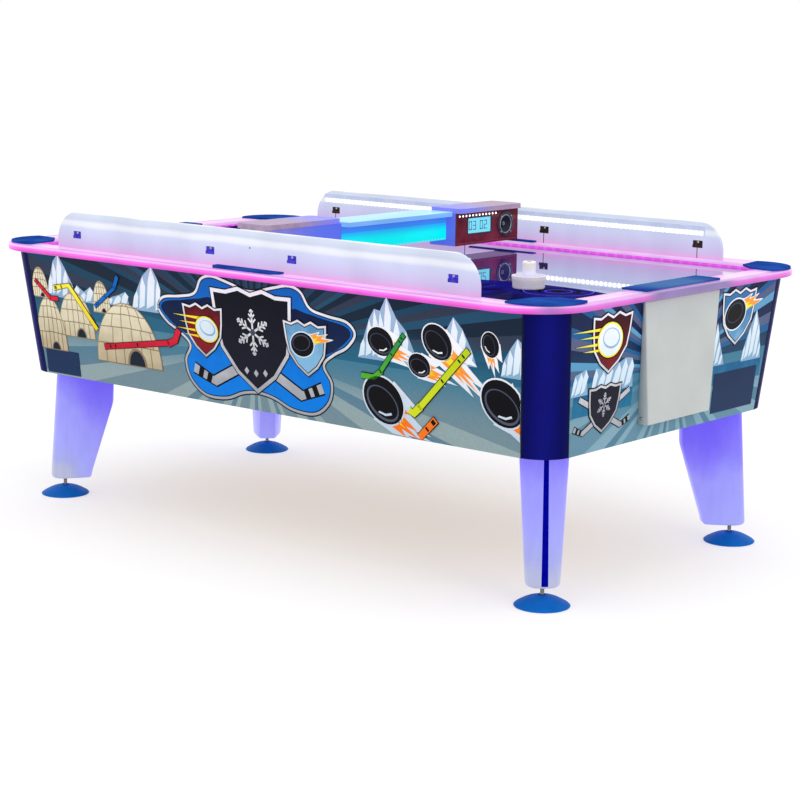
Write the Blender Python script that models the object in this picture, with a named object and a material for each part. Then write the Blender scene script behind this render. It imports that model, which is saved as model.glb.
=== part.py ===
"""Air hockey table: a tapered cabinet on four blade legs, a lit rail, two guards and a score bridge.

Metres, +Z up. The origin is on the floor under the table's centre. +X runs along the table to its
right end, and -Y is the front side.
"""

import math

import bmesh
import bpy
from mathutils import Vector

GAP = 0.0003  # between pieces that touch

# Rail: a flat frame on top of the cabinet, round the playfield
RAIL_TOP = 0.800
RAIL_THICK = 0.0185
RAIL_HALF = (1.0665, 0.643)
RAIL_RADIUS = 0.170
RAIL_WIDTH = 0.085
RAIL_EDGE = 0.003  # bevel of the rail's outer edges
RAIL_UNDER = RAIL_TOP - RAIL_THICK
RAIL_INNER = [half - RAIL_WIDTH for half in RAIL_HALF]

# Cabinet: outer half sizes at its top and bottom, with quarter-round corner posts
CABINET_TOP = RAIL_UNDER - GAP
CABINET_BOTTOM = 0.399
TOP_HALF = (1.0317, 0.5841)
BOTTOM_HALF = (1.001, 0.5378)
POST_RADIUS = 0.0876
PANEL = 0.018
POST_STEPS = 10

# Playfield and the air chamber under it
FIELD_TOP = 0.785
FIELD_THICK = 0.018
FIELD_HALF = [half - GAP for half in RAIL_INNER]
FIELD_RADIUS = RAIL_RADIUS - RAIL_WIDTH - GAP
CHAMBER_HALF = (0.915, 0.530)
CHAMBER_BOTTOM = 0.660
CHAMBER_WALL = 0.012
AIR_NECK = (-0.35, 0.0)  # centre of the blower's outlet and intake
NECK_RADIUS = 0.050

# Goals: a notch in the end rail under the goal cap, and a drop into the puck box
GOAL_HALF = 0.150
GOAL_DEPTH = 1.012  # how far out the notch reaches
DROP_EDGE = 0.945  # where the playfield ends in front of the drop
PUCK_BOX = (0.925, 0.156)  # back wall's X, half width
PUCK_BOX_WALL = 0.006
PUCK_BOX_FLOOR = 0.462
HATCH = (0.478, 0.700, 0.128)  # lowest Z, highest Z and half width of the hole in the end panel

# White cover over each puck box: a wedge with an upright front
COVER_FRONT = 1.040
COVER_Z = (0.444, 0.775)
COVER_HALF = (0.1495, 0.1805)  # half width at its bottom and top
COVER_WALL = 0.005
COVER_GAP = 0.0006  # to the end panel

# Guards: upright frosted panels clamped to the side rails
GUARD_HALF = 0.8025
GUARD_OUTER = 0.5786
GUARD_THICK = 0.010
GUARD_TOP = 0.909
GUARD_RADIUS = 0.085
WINDOW = (0.036, 0.022)  # width and height
WINDOW_Z = 0.842
WINDOWS = (-0.718, -0.157, 0.157, 0.718)
LIGHT_SPAN = (-0.762, 0.745)
LIGHT_Z = (0.8675, 0.8965)
LIGHT_DEPTH = 0.006

# Blue caps on the rail
CAP = 0.0055
CAP_BASE = RAIL_TOP + GAP
CORNER_CAP_CENTRE = (0.944, 0.498)
CORNER_CAP_RADIUS = 0.112
CORNER_CAP_SPAN = (-26, 112)  # degrees
CORNER_CAP_CHORD = [(0.916, 0.500), (0.964, 0.455)]
GOAL_CAP_X = (0.960, 1.041)
GOAL_CAP_HALF = 0.180
GOAL_CAP_CUT = 0.008  # of its outer corners
SIDE_CAP_HALF = 0.128
SIDE_CAP_Y = (0.551, 0.617)
SIDE_CAP_CUT = 0.020

# Bridge and score boxes
BEAM = ((-0.035, 0.035), (0.827, 0.898))
BRIDGE_COVER = ((-0.060, 0.060), (0.8983, 0.912))
BOX_X = (-0.030, 0.072)
BOX_Y = (0.235, 0.545)
BOX_Z = (0.8085, 0.9078)
BOX_WALL = 0.006
ROOF_X = (-0.032, 0.090)
ROOF_Z = (0.9078, 0.9225)
BOX_MOUTH_TOP = ROOF_Z[0] - 0.002
MOUNT_X = (-0.022, 0.060)  # white block that fastens the score box to the guard
SCORE_PANEL = 0.004

# Legs: blades that stand on the diagonal, and levelling feet
FOOT_AT = (0.9334, 0.4572)
LEG_BOTTOM = 0.055
LEG_TOP = CABINET_BOTTOM - GAP
LEG_OUTER = (0.0416, 0.0174)  # outer edge at its bottom and top, out from the foot's centre
LEG_INNER = [(0.055, -0.070), (0.068, -0.084), (0.289, -0.153), (LEG_TOP, -0.1575)]  # Z and inner edge
LEG_WIDTH = (0.092, 0.130)  # across the blade, at its bottom and top
LEG_NOSE = 0.040  # length of the curved outer part
LEG_APEX = 0.008  # half width of the outer edge
LEG_BACK = 0.021  # half width of the inner edge
STEM_RADIUS = 0.006
STEM_TOP = 0.118
STEM_HOLE = (0.0068, 0.150)  # radius, and how high it reaches
BALL_Z = 0.0165
BALL_RADIUS = 0.0095
SOCKET_RADIUS = 0.0101
SOCKET_MOUTH = 0.0088  # narrower than the ball, which snaps in
PAD_RADIUS = 0.074
PAD_HEIGHT = 0.030

# Blower and control unit inside the cabinet
BLOWER_RADIUS = 0.150
BLOWER_TOP = 0.560
BLOWER_WALL = 0.004
IMPELLER_RADIUS = 0.120
IMPELLER_Z = (0.440, 0.520)
BLADES = 12
CONTROL = ((0.30, 0.52), (-0.16, 0.16), (0.0, 0.085))

# Play pieces
MALLET_RADIUS = 0.0465
MALLET_HEIGHT = 0.0722
MALLET_AT = (0.707, -0.242)
PUCK_RADIUS = 0.035
PUCK_THICK = 0.0065
PUCK_AT = (-0.250, 0.080)
HOVER = 0.0005  # play pieces above the playfield

LOOKS = {
    "board": ((0.16, 0.38, 0.48), 0.45, 0.0),
    "navy": ((0.02, 0.03, 0.25), 0.35, 0.1),
    "rail": ((0.92, 0.42, 0.86), 0.30, 0.0),
    "cap": ((0.06, 0.25, 0.62), 0.35, 0.0),
    "guard": ((0.86, 0.86, 0.94), 0.40, 0.0),
    "aluminium": ((0.75, 0.76, 0.78), 0.35, 1.0),
    "field": ((0.10, 0.10, 0.22), 0.10, 0.0),
    "bridge": ((0.10, 0.60, 0.90), 0.30, 0.0),
    "score_box": ((0.55, 0.40, 0.48), 0.45, 0.0),
    "red_panel": ((0.30, 0.02, 0.03), 0.12, 0.0),
    "leg": ((0.62, 0.58, 0.98), 0.40, 0.0),
    "steel": ((0.62, 0.62, 0.62), 0.25, 1.0),
    "pad": ((0.02, 0.32, 0.72), 0.45, 0.0),
    "white": ((0.82, 0.84, 0.82), 0.40, 0.0),
    "plywood": ((0.55, 0.42, 0.28), 0.70, 0.0),
    "black": ((0.03, 0.03, 0.03), 0.50, 0.0),
    "mallet": ((0.88, 0.88, 0.93), 0.30, 0.0),
    "puck": ((0.90, 0.05, 0.30), 0.35, 0.0),
}


# --- Building tools ---------------------------------------------------------------------------

def clear_scene():
    for obj in list(bpy.data.objects):
        bpy.data.objects.remove(obj)


def material(look):
    found = bpy.data.materials.get(look)
    if found:
        return found
    color, roughness, metallic = LOOKS[look]
    made = bpy.data.materials.new(look)
    made.use_nodes = True
    shader = made.node_tree.nodes["Principled BSDF"]
    shader.inputs["Base Color"].default_value = (*color, 1)
    shader.inputs["Roughness"].default_value = roughness
    shader.inputs["Metallic"].default_value = metallic
    return made


def add_object(name, bm, look, smooth=False):
    """Turns a bmesh into a named object with its own material, or into a hidden cutter."""
    bmesh.ops.remove_doubles(bm, verts=bm.verts, dist=1e-6)
    bmesh.ops.recalc_face_normals(bm, faces=bm.faces)
    mesh = bpy.data.meshes.new(name)
    bm.to_mesh(mesh)
    bm.free()
    if smooth:
        mesh.shade_smooth()
        mesh.set_sharp_from_angle(angle=math.radians(35))
    obj = bpy.data.objects.new(name, mesh)
    bpy.context.scene.collection.objects.link(obj)
    if look:
        mesh.materials.append(material(look))
    else:
        obj.hide_render = True
        obj.display_type = "WIRE"
    return obj


def loft(name, sections, look, smooth=False):
    """A closed solid through sections, each a loop of the same number of points."""
    bm = bmesh.new()
    rings = [[bm.verts.new(p) for p in section] for section in sections]
    count = len(rings[0])
    for low, high in zip(rings, rings[1:]):
        for i in range(count):
            j = (i + 1) % count
            bm.faces.new((low[i], low[j], high[j], high[i]))
    bm.faces.new(rings[0])
    bm.faces.new(rings[-1])
    return add_object(name, bm, look, smooth)


def prism(name, outline, low, high, look):
    """An outline in X and Y, extruded from low to high."""
    return loft(name, [[(x, y, z) for x, y in outline] for z in (low, high)], look)


def slab(name, xs, ys, zs, look):
    """A box between the given pairs of X, Y and Z."""
    outline = [(xs[0], ys[0]), (xs[1], ys[0]), (xs[1], ys[1]), (xs[0], ys[1])]
    return prism(name, outline, zs[0], zs[1], look)


def turned(name, profile, steps, look, at):
    """A closed profile of (radius, z) points turned about the upright axis through at."""
    bm = bmesh.new()
    rings = []
    for radius, z in profile:
        if radius < 1e-6:
            rings.append([bm.verts.new((at[0], at[1], z))] * steps)
            continue
        turn = [2 * math.pi * i / steps for i in range(steps)]
        rings.append([
            bm.verts.new((at[0] + radius * math.cos(a), at[1] + radius * math.sin(a), z)) for a in turn
        ])
    for low, high in zip(rings, rings[1:] + rings[:1]):
        for i in range(steps):
            j = (i + 1) % steps
            corners = []
            for corner in (low[i], low[j], high[j], high[i]):
                if corner not in corners:
                    corners.append(corner)
            if len(corners) > 2:
                bm.faces.new(corners)
    return add_object(name, bm, look, smooth=True)


def boolean(target, other, operation="DIFFERENCE"):
    modifier = target.modifiers.new(other.name, "BOOLEAN")
    modifier.operation = operation
    modifier.object = other
    return target


def arc(centre, radius, start, end, steps):
    """Points on an arc, angles in degrees."""
    angles = [math.radians(start + (end - start) * i / steps) for i in range(steps + 1)]
    return [(centre[0] + radius * math.cos(a), centre[1] + radius * math.sin(a)) for a in angles]


def rounded_rectangle(half, radius, steps):
    outline = []
    for turn, (sx, sy) in enumerate(((1, 1), (-1, 1), (-1, -1), (1, -1))):
        centre = (sx * (half[0] - radius), sy * (half[1] - radius))
        outline += arc(centre, radius, 90 * turn, 90 * turn + 90, steps)
    return outline


def flipped(points, sx, sy):
    """Points of any size, mirrored in X and Y, in an order that keeps a loop's direction."""
    made = [(sx * p[0], sy * p[1], *p[2:]) for p in points]
    return made if sx * sy > 0 else made[::-1]


# --- The cabinet's tapered shape --------------------------------------------------------------

def half_size(z):
    """The cabinet's outer half sizes at height z."""
    share = (z - CABINET_BOTTOM) / (RAIL_UNDER - CABINET_BOTTOM)
    return [low + (high - low) * share for low, high in zip(BOTTOM_HALF, TOP_HALF)]


ENDS = {"right": 1, "left": -1}
SIDES = {"front": -1, "back": 1}
CORNERS = {f"{side}_{end}": (ENDS[end], SIDES[side]) for side in SIDES for end in ENDS}


def side_panel(side):
    sign = SIDES[side]
    sections = []
    for z in (CABINET_BOTTOM, CABINET_TOP):
        half_x, outer = half_size(z)
        reach, inner = half_x - POST_RADIUS - GAP, outer - PANEL
        loop = [(-reach, inner, z), (reach, inner, z), (reach, outer, z), (-reach, outer, z)]
        sections.append(flipped(loop, 1, sign))
    return loft(f"side_panel_{side}", sections, "board")


def end_panel(end):
    sign = ENDS[end]
    sections = []
    for z in (CABINET_BOTTOM, CABINET_TOP):
        outer, half_y = half_size(z)
        reach, inner = half_y - POST_RADIUS - GAP, outer - PANEL
        loop = [(inner, -reach, z), (outer, -reach, z), (outer, reach, z), (inner, reach, z)]
        sections.append(flipped(loop, sign, 1))
    panel = loft(f"end_panel_{end}", sections, "board")
    low, high, half = HATCH
    xs = sorted((sign * 0.95, sign * 1.08))
    return boolean(panel, slab(f"cut_hatch_{end}", xs, (-half, half), (low, high), None))


def corner_post(corner):
    sx, sy = CORNERS[corner]
    sections = []
    for z in (CABINET_BOTTOM, CABINET_TOP):
        half_x, half_y = half_size(z)
        centre = (half_x - POST_RADIUS, half_y - POST_RADIUS)
        loop = arc(centre, POST_RADIUS, 0, 90, POST_STEPS)
        loop += arc(centre, POST_RADIUS - PANEL, 90, 0, POST_STEPS)
        sections.append(flipped([(x, y, z) for x, y in loop], sx, sy))
    return loft(f"corner_post_{corner}", sections, "navy", smooth=True)


def cabinet_floor():
    half = [h - PANEL - 2 * GAP for h in BOTTOM_HALF]
    outline = rounded_rectangle(half, POST_RADIUS - PANEL - GAP, 6)
    floor = prism("cabinet_floor", outline, CABINET_BOTTOM, CABINET_BOTTOM + PANEL, "plywood")
    intake = [(0, 0.38), (NECK_RADIUS, 0.38), (NECK_RADIUS, 0.44), (0, 0.44)]
    return boolean(floor, turned("cut_intake", intake, 24, None, AIR_NECK))


def playfield():
    outline = rounded_rectangle(FIELD_HALF, FIELD_RADIUS, 8)
    field = prism("playfield", outline, FIELD_TOP - FIELD_THICK, FIELD_TOP, "field")
    for end, sign in ENDS.items():
        xs = sorted((sign * DROP_EDGE, sign * 1.02))
        zs = (FIELD_TOP - FIELD_THICK - 0.01, FIELD_TOP + 0.01)
        boolean(field, slab(f"cut_drop_{end}", xs, (-GOAL_HALF, GOAL_HALF), zs, None))
    return field


def plenum_tray():
    top = FIELD_TOP - FIELD_THICK - GAP
    xs, ys = [(-half, half) for half in CHAMBER_HALF]
    tray = slab("plenum_tray", xs, ys, (CHAMBER_BOTTOM, top), "plywood")
    inner = [(low + CHAMBER_WALL, high - CHAMBER_WALL) for low, high in (xs, ys)]
    boolean(tray, slab("cut_chamber", *inner, (CHAMBER_BOTTOM + CHAMBER_WALL, top + 0.01), None))
    radius = NECK_RADIUS + 0.002
    hole = [(0, CHAMBER_BOTTOM - 0.01), (radius, CHAMBER_BOTTOM - 0.01), (radius, 0.69), (0, 0.69)]
    return boolean(tray, turned("cut_neck", hole, 24, None, AIR_NECK))


# --- Rail -------------------------------------------------------------------------------------

def rail_profile():
    """The rail's section: distance in from its outer edge, and height."""
    return [
        (0, RAIL_UNDER + RAIL_EDGE), (0, RAIL_TOP - RAIL_EDGE), (RAIL_EDGE, RAIL_TOP),
        (RAIL_WIDTH, RAIL_TOP), (RAIL_WIDTH, RAIL_UNDER), (RAIL_EDGE, RAIL_UNDER),
    ]


def side_rail(side):
    reach = RAIL_HALF[0] - RAIL_RADIUS - GAP / 2
    sign = SIDES[side]
    sections = [[(x, sign * (RAIL_HALF[1] - d), z) for d, z in rail_profile()] for x in (-reach, reach)]
    return loft(f"side_rail_{side}", sections, "rail")


def end_rail(end):
    reach = RAIL_HALF[1] - RAIL_RADIUS - GAP / 2
    sign = ENDS[end]
    sections = [[(sign * (RAIL_HALF[0] - d), y, z) for d, z in rail_profile()] for y in (-reach, reach)]
    rail = loft(f"end_rail_{end}", sections, "rail")
    xs = sorted((sign * (RAIL_INNER[0] - 0.01), sign * GOAL_DEPTH))
    mouth = slab(f"cut_mouth_{end}", xs, (-GOAL_HALF, GOAL_HALF), (RAIL_UNDER - 0.01, RAIL_TOP + 0.01), None)
    return boolean(rail, mouth)


def rail_corner(corner):
    sx, sy = CORNERS[corner]
    centre = [half - RAIL_RADIUS for half in RAIL_HALF]
    sections = []
    for i in range(POST_STEPS + 1):
        angle = math.radians(90 * i / POST_STEPS)
        sections.append([
            (sx * (centre[0] + (RAIL_RADIUS - d) * math.cos(angle)),
             sy * (centre[1] + (RAIL_RADIUS - d) * math.sin(angle)), z)
            for d, z in rail_profile()
        ])
    return loft(f"rail_corner_{corner}", sections, "rail", smooth=True)


def corner_cap(corner):
    """A blue plate over each rail corner. Its inner edge is a chord that overhangs the playfield."""
    outline = arc(CORNER_CAP_CENTRE, CORNER_CAP_RADIUS, *CORNER_CAP_SPAN, 14) + CORNER_CAP_CHORD
    return prism(f"corner_cap_{corner}", flipped(outline, *CORNERS[corner]), CAP_BASE, CAP_BASE + CAP, "cap")


def side_cap(side):
    low, high = SIDE_CAP_Y
    half, cut = SIDE_CAP_HALF, SIDE_CAP_CUT
    outline = [(-half, low), (half, low), (half, high - cut), (half - cut, high)]
    outline += [(-half + cut, high), (-half, high - cut)]
    return prism(f"side_cap_{side}", flipped(outline, 1, SIDES[side]), CAP_BASE, CAP_BASE + CAP, "cap")


def goal_cap(end):
    inner, outer = GOAL_CAP_X
    half, cut = GOAL_CAP_HALF, GOAL_CAP_CUT
    outline = [(inner, -half), (outer - cut, -half), (outer, -half + cut), (outer, half - cut)]
    outline += [(outer - cut, half), (inner, half)]
    return prism(f"goal_cap_{end}", flipped(outline, ENDS[end], 1), CAP_BASE, CAP_BASE + CAP, "cap")


# --- Guards and bridge ------------------------------------------------------------------------

def guard(side):
    """An upright panel with round upper corners, four windows, and a notch over the side cap."""
    sign = SIDES[side]
    low = RAIL_TOP + GAP
    corner = (GUARD_HALF - GUARD_RADIUS, GUARD_TOP - GUARD_RADIUS)
    outline = [(-GUARD_HALF, low), (GUARD_HALF, low)]
    outline += arc(corner, GUARD_RADIUS, 0, 90, POST_STEPS)
    outline += arc((-corner[0], corner[1]), GUARD_RADIUS, 90, 180, POST_STEPS)
    inner = GUARD_OUTER - GUARD_THICK
    sections = [[(x, sign * y, z) for x, z in outline] for y in (inner, GUARD_OUTER)]
    panel = loft(f"guard_{side}", sections, "guard")
    through = sorted((sign * (inner - 0.01), sign * (GUARD_OUTER + 0.01)))
    notch = SIDE_CAP_HALF + 2 * GAP
    boolean(panel, slab(f"cut_notch_{side}", (-notch, notch), through, (0.79, CAP_BASE + CAP + GAP), None))
    half_width, half_height = [size / 2 for size in WINDOW]
    heights = (WINDOW_Z - half_height, WINDOW_Z + half_height)
    for number, x in enumerate(WINDOWS):
        xs = (x - half_width, x + half_width)
        boolean(panel, slab(f"cut_window_{side}_{number}", xs, through, heights, None))
    return panel


def guard_light(side):
    """The channel for the light strip, along the guard's inner face, in two runs beside the score box."""
    sign = SIDES[side]
    wall = GUARD_OUTER - GUARD_THICK - GAP
    ys = sorted((sign * (wall - LIGHT_DEPTH), sign * wall))
    xs = LIGHT_SPAN if side == "back" else (-LIGHT_SPAN[1], -LIGHT_SPAN[0])
    return slab(f"guard_light_{side}", xs, ys, LIGHT_Z, "aluminium")


def bridge_beam():
    """The lit beam between the score boxes."""
    xs, zs = BEAM
    reach = BOX_Y[0] - GAP
    return slab("bridge_beam", xs, (-reach, reach), zs, "bridge")


def bridge_cover():
    xs, zs = BRIDGE_COVER
    reach = BOX_Y[0] - GAP
    return slab("bridge_cover", xs, (-reach, reach), zs, "bridge")


def turned_about(points, side):
    """Points given for the back score box, turned half a turn about the table's centre for the front one."""
    sign = SIDES[side]
    return [(sign * p[0], sign * p[1], *p[2:]) for p in points]


def turned_slab(name, side, xs, ys, zs, look):
    outline = turned_about([(xs[0], ys[0]), (xs[1], ys[0]), (xs[1], ys[1]), (xs[0], ys[1])], side)
    return prism(name, outline, *zs, look)


def score_box(side):
    """A box open at its face, with an overhanging roof and a block that fastens it to the guard."""
    box = turned_slab(f"score_box_{side}", side, BOX_X, BOX_Y, (BOX_Z[0], ROOF_Z[0] + 0.001), "score_box")
    roof = turned_slab(f"add_roof_{side}", side, ROOF_X, BOX_Y, ROOF_Z, None)
    boolean(box, roof, "UNION")
    block_y = (BOX_Y[1] - 0.004, GUARD_OUTER - GUARD_THICK - LIGHT_DEPTH - 3 * GAP)
    block_z = (CAP_BASE + CAP + GAP, BOX_Z[1])
    block = turned_slab(f"add_block_{side}", side, MOUNT_X, block_y, block_z, None)
    boolean(box, block, "UNION")
    inner_x = (BOX_X[0] + BOX_WALL, BOX_X[1] + 0.001)
    inner_y = (BOX_Y[0] + BOX_WALL, BOX_Y[1] - BOX_WALL)
    inner_z = (BOX_Z[0] + BOX_WALL, BOX_MOUTH_TOP)
    return boolean(box, turned_slab(f"cut_inside_{side}", side, inner_x, inner_y, inner_z, None))


def score_panel(side):
    """The dark red face, set into the mouth of the score box."""
    xs = (BOX_X[1] - SCORE_PANEL, BOX_X[1])
    ys = (BOX_Y[0] + BOX_WALL + GAP, BOX_Y[1] - BOX_WALL - GAP)
    zs = (BOX_Z[0] + BOX_WALL + GAP, BOX_MOUTH_TOP - GAP)
    return turned_slab(f"score_panel_{side}", side, xs, ys, zs, "red_panel")


# --- Legs and feet ----------------------------------------------------------------------------

def blade_section(z):
    """The blade's outline at height z: distance out along the diagonal, and distance across it."""
    outer = LEG_OUTER[0] + (LEG_OUTER[1] - LEG_OUTER[0]) * (z - LEG_BOTTOM) / (LEG_TOP - LEG_BOTTOM)
    (z0, t0), (z1, t1) = next(pair for pair in zip(LEG_INNER, LEG_INNER[1:]) if z <= pair[1][0] + 1e-9)
    inner = t0 + (t1 - t0) * (z - z0) / (z1 - z0)
    share = (z - LEG_BOTTOM) / (LEG_TOP - LEG_BOTTOM)
    half = (LEG_WIDTH[0] + (LEG_WIDTH[1] - LEG_WIDTH[0]) * share) / 2
    nose, apex, back = LEG_NOSE, LEG_APEX, LEG_BACK
    curve = [
        (outer - nose + nose * math.sin(a), apex + (half - apex) * math.cos(a))
        for a in (math.radians(18 * i) for i in range(6))
    ]
    side = [*curve[::-1], (inner + 0.010, back + 0.009), (inner, back)]
    return side + [(t, -s) for t, s in reversed(side)]


def leg(corner):
    """A blade on the diagonal, with a blind hole for the foot's stem."""
    sx, sy = CORNERS[corner]
    root = math.sqrt(0.5)
    sections = []
    for z, _ in LEG_INNER:
        loop = [(FOOT_AT[0] + (t - s) * root, FOOT_AT[1] + (t + s) * root, z) for t, s in blade_section(z)]
        sections.append(flipped(loop, sx, sy))
    blade = loft(f"leg_{corner}", sections, "leg", smooth=True)
    radius, top = STEM_HOLE
    hole = [(0, LEG_BOTTOM - 0.01), (radius, LEG_BOTTOM - 0.01), (radius, top), (0, top)]
    at = (sx * FOOT_AT[0], sy * FOOT_AT[1])
    return boolean(blade, turned(f"cut_stem_{corner}", hole, 16, None, at))


def foot_stem(corner):
    """A threaded stem that ends in a ball."""
    sx, sy = CORNERS[corner]
    profile = [(0, BALL_Z - BALL_RADIUS)]
    for i in range(1, 7):
        angle = math.radians(-90 + 140 * i / 7)
        profile.append((BALL_RADIUS * math.cos(angle), BALL_Z + BALL_RADIUS * math.sin(angle)))
    profile += [(STEM_RADIUS * 0.85, BALL_Z + BALL_RADIUS), (STEM_RADIUS, BALL_Z + BALL_RADIUS + 0.004)]
    profile += [(STEM_RADIUS, STEM_TOP - 0.001), (STEM_RADIUS - 0.001, STEM_TOP), (0, STEM_TOP)]
    return turned(f"foot_stem_{corner}", profile, 16, "steel", (sx * FOOT_AT[0], sy * FOOT_AT[1]))


def foot_pad(corner):
    """A domed disc with a socket that snaps over the stem's ball."""
    sx, sy = CORNERS[corner]
    profile = [(0, 0), (PAD_RADIUS - 0.002, 0), (PAD_RADIUS, 0.003)]
    neck, rise = 0.014, PAD_HEIGHT - 0.006
    for i in range(1, 6):
        share = i / 6
        radius = PAD_RADIUS + (neck - PAD_RADIUS) * share
        profile.append((radius, 0.003 + rise * math.sin(math.pi / 2 * share)))
    profile += [(neck, PAD_HEIGHT - 0.002), (neck - 0.002, PAD_HEIGHT)]
    mouth = math.acos(SOCKET_MOUTH / SOCKET_RADIUS)
    profile.append((0.0096, BALL_Z + SOCKET_RADIUS * math.sin(mouth) + 0.004))
    for i in range(6):
        angle = mouth - (mouth + math.pi / 2) * i / 6
        profile.append((SOCKET_RADIUS * math.cos(angle), BALL_Z + SOCKET_RADIUS * math.sin(angle)))
    profile.append((0, BALL_Z - SOCKET_RADIUS))
    return turned(f"foot_pad_{corner}", profile, 24, "pad", (sx * FOOT_AT[0], sy * FOOT_AT[1]))


# --- Puck boxes and their covers --------------------------------------------------------------

def tapered(name, sign, zs, near, far, halves, look):
    """A block between two heights, with its near and far X and its half width given for each."""
    sections = []
    for z, x0, x1, half in zip(zs, near, far, halves):
        sections.append(flipped([(x0, -half, z), (x1, -half, z), (x1, half, z), (x0, half, z)], sign, 1))
    return loft(name, sections, look)


def panel_face(zs, beyond):
    """The X of the end panel's outer face at each height, moved outward by beyond."""
    return [half_size(z)[0] + beyond for z in zs]


def puck_box(end):
    """The tray behind the end panel where a puck lands, open at its top and front."""
    sign = ENDS[end]
    back, half = PUCK_BOX
    zs = (PUCK_BOX_FLOOR, FIELD_TOP - FIELD_THICK - GAP)
    front = panel_face(zs, -PANEL - GAP)
    box = tapered(f"puck_box_{end}", sign, zs, (back, back), front, (half, half), "black")
    wall = PUCK_BOX_WALL
    xs = sorted((sign * (back + wall), sign * 1.05))
    ys = (wall - half, half - wall)
    return boolean(box, slab(f"cut_box_{end}", xs, ys, (zs[0] + wall, zs[1] + 0.01), None))


def puck_cover(end):
    """A white wedge, open at its back, that tilts out about its lower back edge."""
    sign = ENDS[end]
    zs, wall, front = COVER_Z, COVER_WALL, COVER_FRONT
    cover = tapered(
        f"puck_cover_{end}", sign, zs, panel_face(zs, COVER_GAP), (front, front), COVER_HALF, "white")
    inner_zs = (zs[0] + wall, zs[1] - wall)
    inner = tapered(
        f"cut_cover_{end}", sign, inner_zs, panel_face(inner_zs, -0.03), (front - wall, front - wall),
        [half - wall for half in COVER_HALF], None)
    return boolean(cover, inner)


# --- Inside the cabinet -----------------------------------------------------------------------

def blower_housing():
    """A round shell on the cabinet floor, with an intake below and a neck up into the air chamber."""
    base = CABINET_BOTTOM + PANEL + GAP
    wall = BLOWER_WALL
    profile = [
        (NECK_RADIUS, base), (BLOWER_RADIUS, base), (BLOWER_RADIUS, BLOWER_TOP), (NECK_RADIUS, BLOWER_TOP),
        (NECK_RADIUS, CHAMBER_BOTTOM + CHAMBER_WALL), (NECK_RADIUS - wall, CHAMBER_BOTTOM + CHAMBER_WALL),
        (NECK_RADIUS - wall, BLOWER_TOP - wall), (BLOWER_RADIUS - wall, BLOWER_TOP - wall),
        (BLOWER_RADIUS - wall, base + wall), (NECK_RADIUS, base + wall),
    ]
    return turned("blower_housing", profile, 32, "black", AIR_NECK)


def blower_motor():
    """A motor held in the neck by two cross bars, with its shaft down through the impeller."""
    shaft, can = 0.005, 0.036
    low, face, top = 0.470, 0.528, BLOWER_TOP + 0.002
    profile = [(0, low), (shaft, low), (shaft, face), (can, face), (can, top), (0, top)]
    motor = turned("blower_motor", profile, 20, "steel", AIR_NECK)
    reach, half = NECK_RADIUS - BLOWER_WALL - 2 * GAP, 0.005
    for name, dx, dy in (("add_bar_along", reach, half), ("add_bar_across", half, reach)):
        xs, ys = [(centre - d, centre + d) for centre, d in zip(AIR_NECK, (dx, dy))]
        boolean(motor, slab(name, xs, ys, (BLOWER_TOP - 0.006, BLOWER_TOP), None), "UNION")
    return motor


def blower_impeller():
    """A back plate with a hub and curved blades."""
    (low, high), bore, hub, plate = IMPELLER_Z, 0.0054, 0.020, 0.003
    hub_low, blade_start, sweep, half = low + 0.035, 0.070, 0.45, 0.0012
    profile = [
        (bore, hub_low), (hub, hub_low), (hub, high - plate), (IMPELLER_RADIUS, high - plate),
        (IMPELLER_RADIUS, high), (bore, high),
    ]
    impeller = turned("blower_impeller", profile, 32, "aluminium", AIR_NECK)
    for number in range(BLADES):
        start = 2 * math.pi * number / BLADES
        middle = []
        for step in range(4):
            radius = blade_start + (IMPELLER_RADIUS - 0.002 - blade_start) * step / 3
            angle = start + sweep * step / 3
            middle.append(Vector((radius * math.cos(angle), radius * math.sin(angle))))
        across = [Vector((-p.y, p.x)).normalized() * half for p in middle]
        loop = [m + a for m, a in zip(middle, across)]
        loop += [m - a for m, a in zip(middle[::-1], across[::-1])]
        outline = [(p.x + AIR_NECK[0], p.y + AIR_NECK[1]) for p in loop]
        boolean(impeller, prism(f"add_blade_{number}", outline, low, high - 0.001, None), "UNION")
    return impeller


def control_unit():
    """The power supply and control box on the cabinet floor."""
    base = CABINET_BOTTOM + PANEL + GAP
    xs, ys, zs = CONTROL
    return slab("control_unit", xs, ys, (base + zs[0], base + zs[1]), "aluminium")


# --- Play pieces ------------------------------------------------------------------------------

def mallet(end):
    """A flared cup with a knob in its middle."""
    low = FIELD_TOP + HOVER
    rim, foot, top = MALLET_RADIUS, MALLET_RADIUS - 0.003, MALLET_HEIGHT
    cup, knob, wall = 0.0345, 0.0182, 0.006
    profile = [
        (0, 0), (foot - 0.002, 0), (foot, 0.002), (rim, cup - 0.002), (rim - 0.001, cup), (rim - wall, cup),
        (rim - wall - 0.002, 0.014), (knob + 0.001, 0.012), (knob, 0.014), (knob, top - 0.002),
        (knob - 0.002, top), (0, top),
    ]
    at = (ENDS[end] * MALLET_AT[0], MALLET_AT[1])
    return turned(f"mallet_{end}", [(r, low + z) for r, z in profile], 32, "mallet", at)


def puck():
    low = FIELD_TOP + HOVER
    edge = 0.001
    profile = [
        (0, 0), (PUCK_RADIUS - edge, 0), (PUCK_RADIUS, edge), (PUCK_RADIUS, PUCK_THICK - edge),
        (PUCK_RADIUS - edge, PUCK_THICK), (0, PUCK_THICK),
    ]
    return turned("puck", [(r, low + z) for r, z in profile], 32, "puck", PUCK_AT)


# --- The table --------------------------------------------------------------------------------

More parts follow.
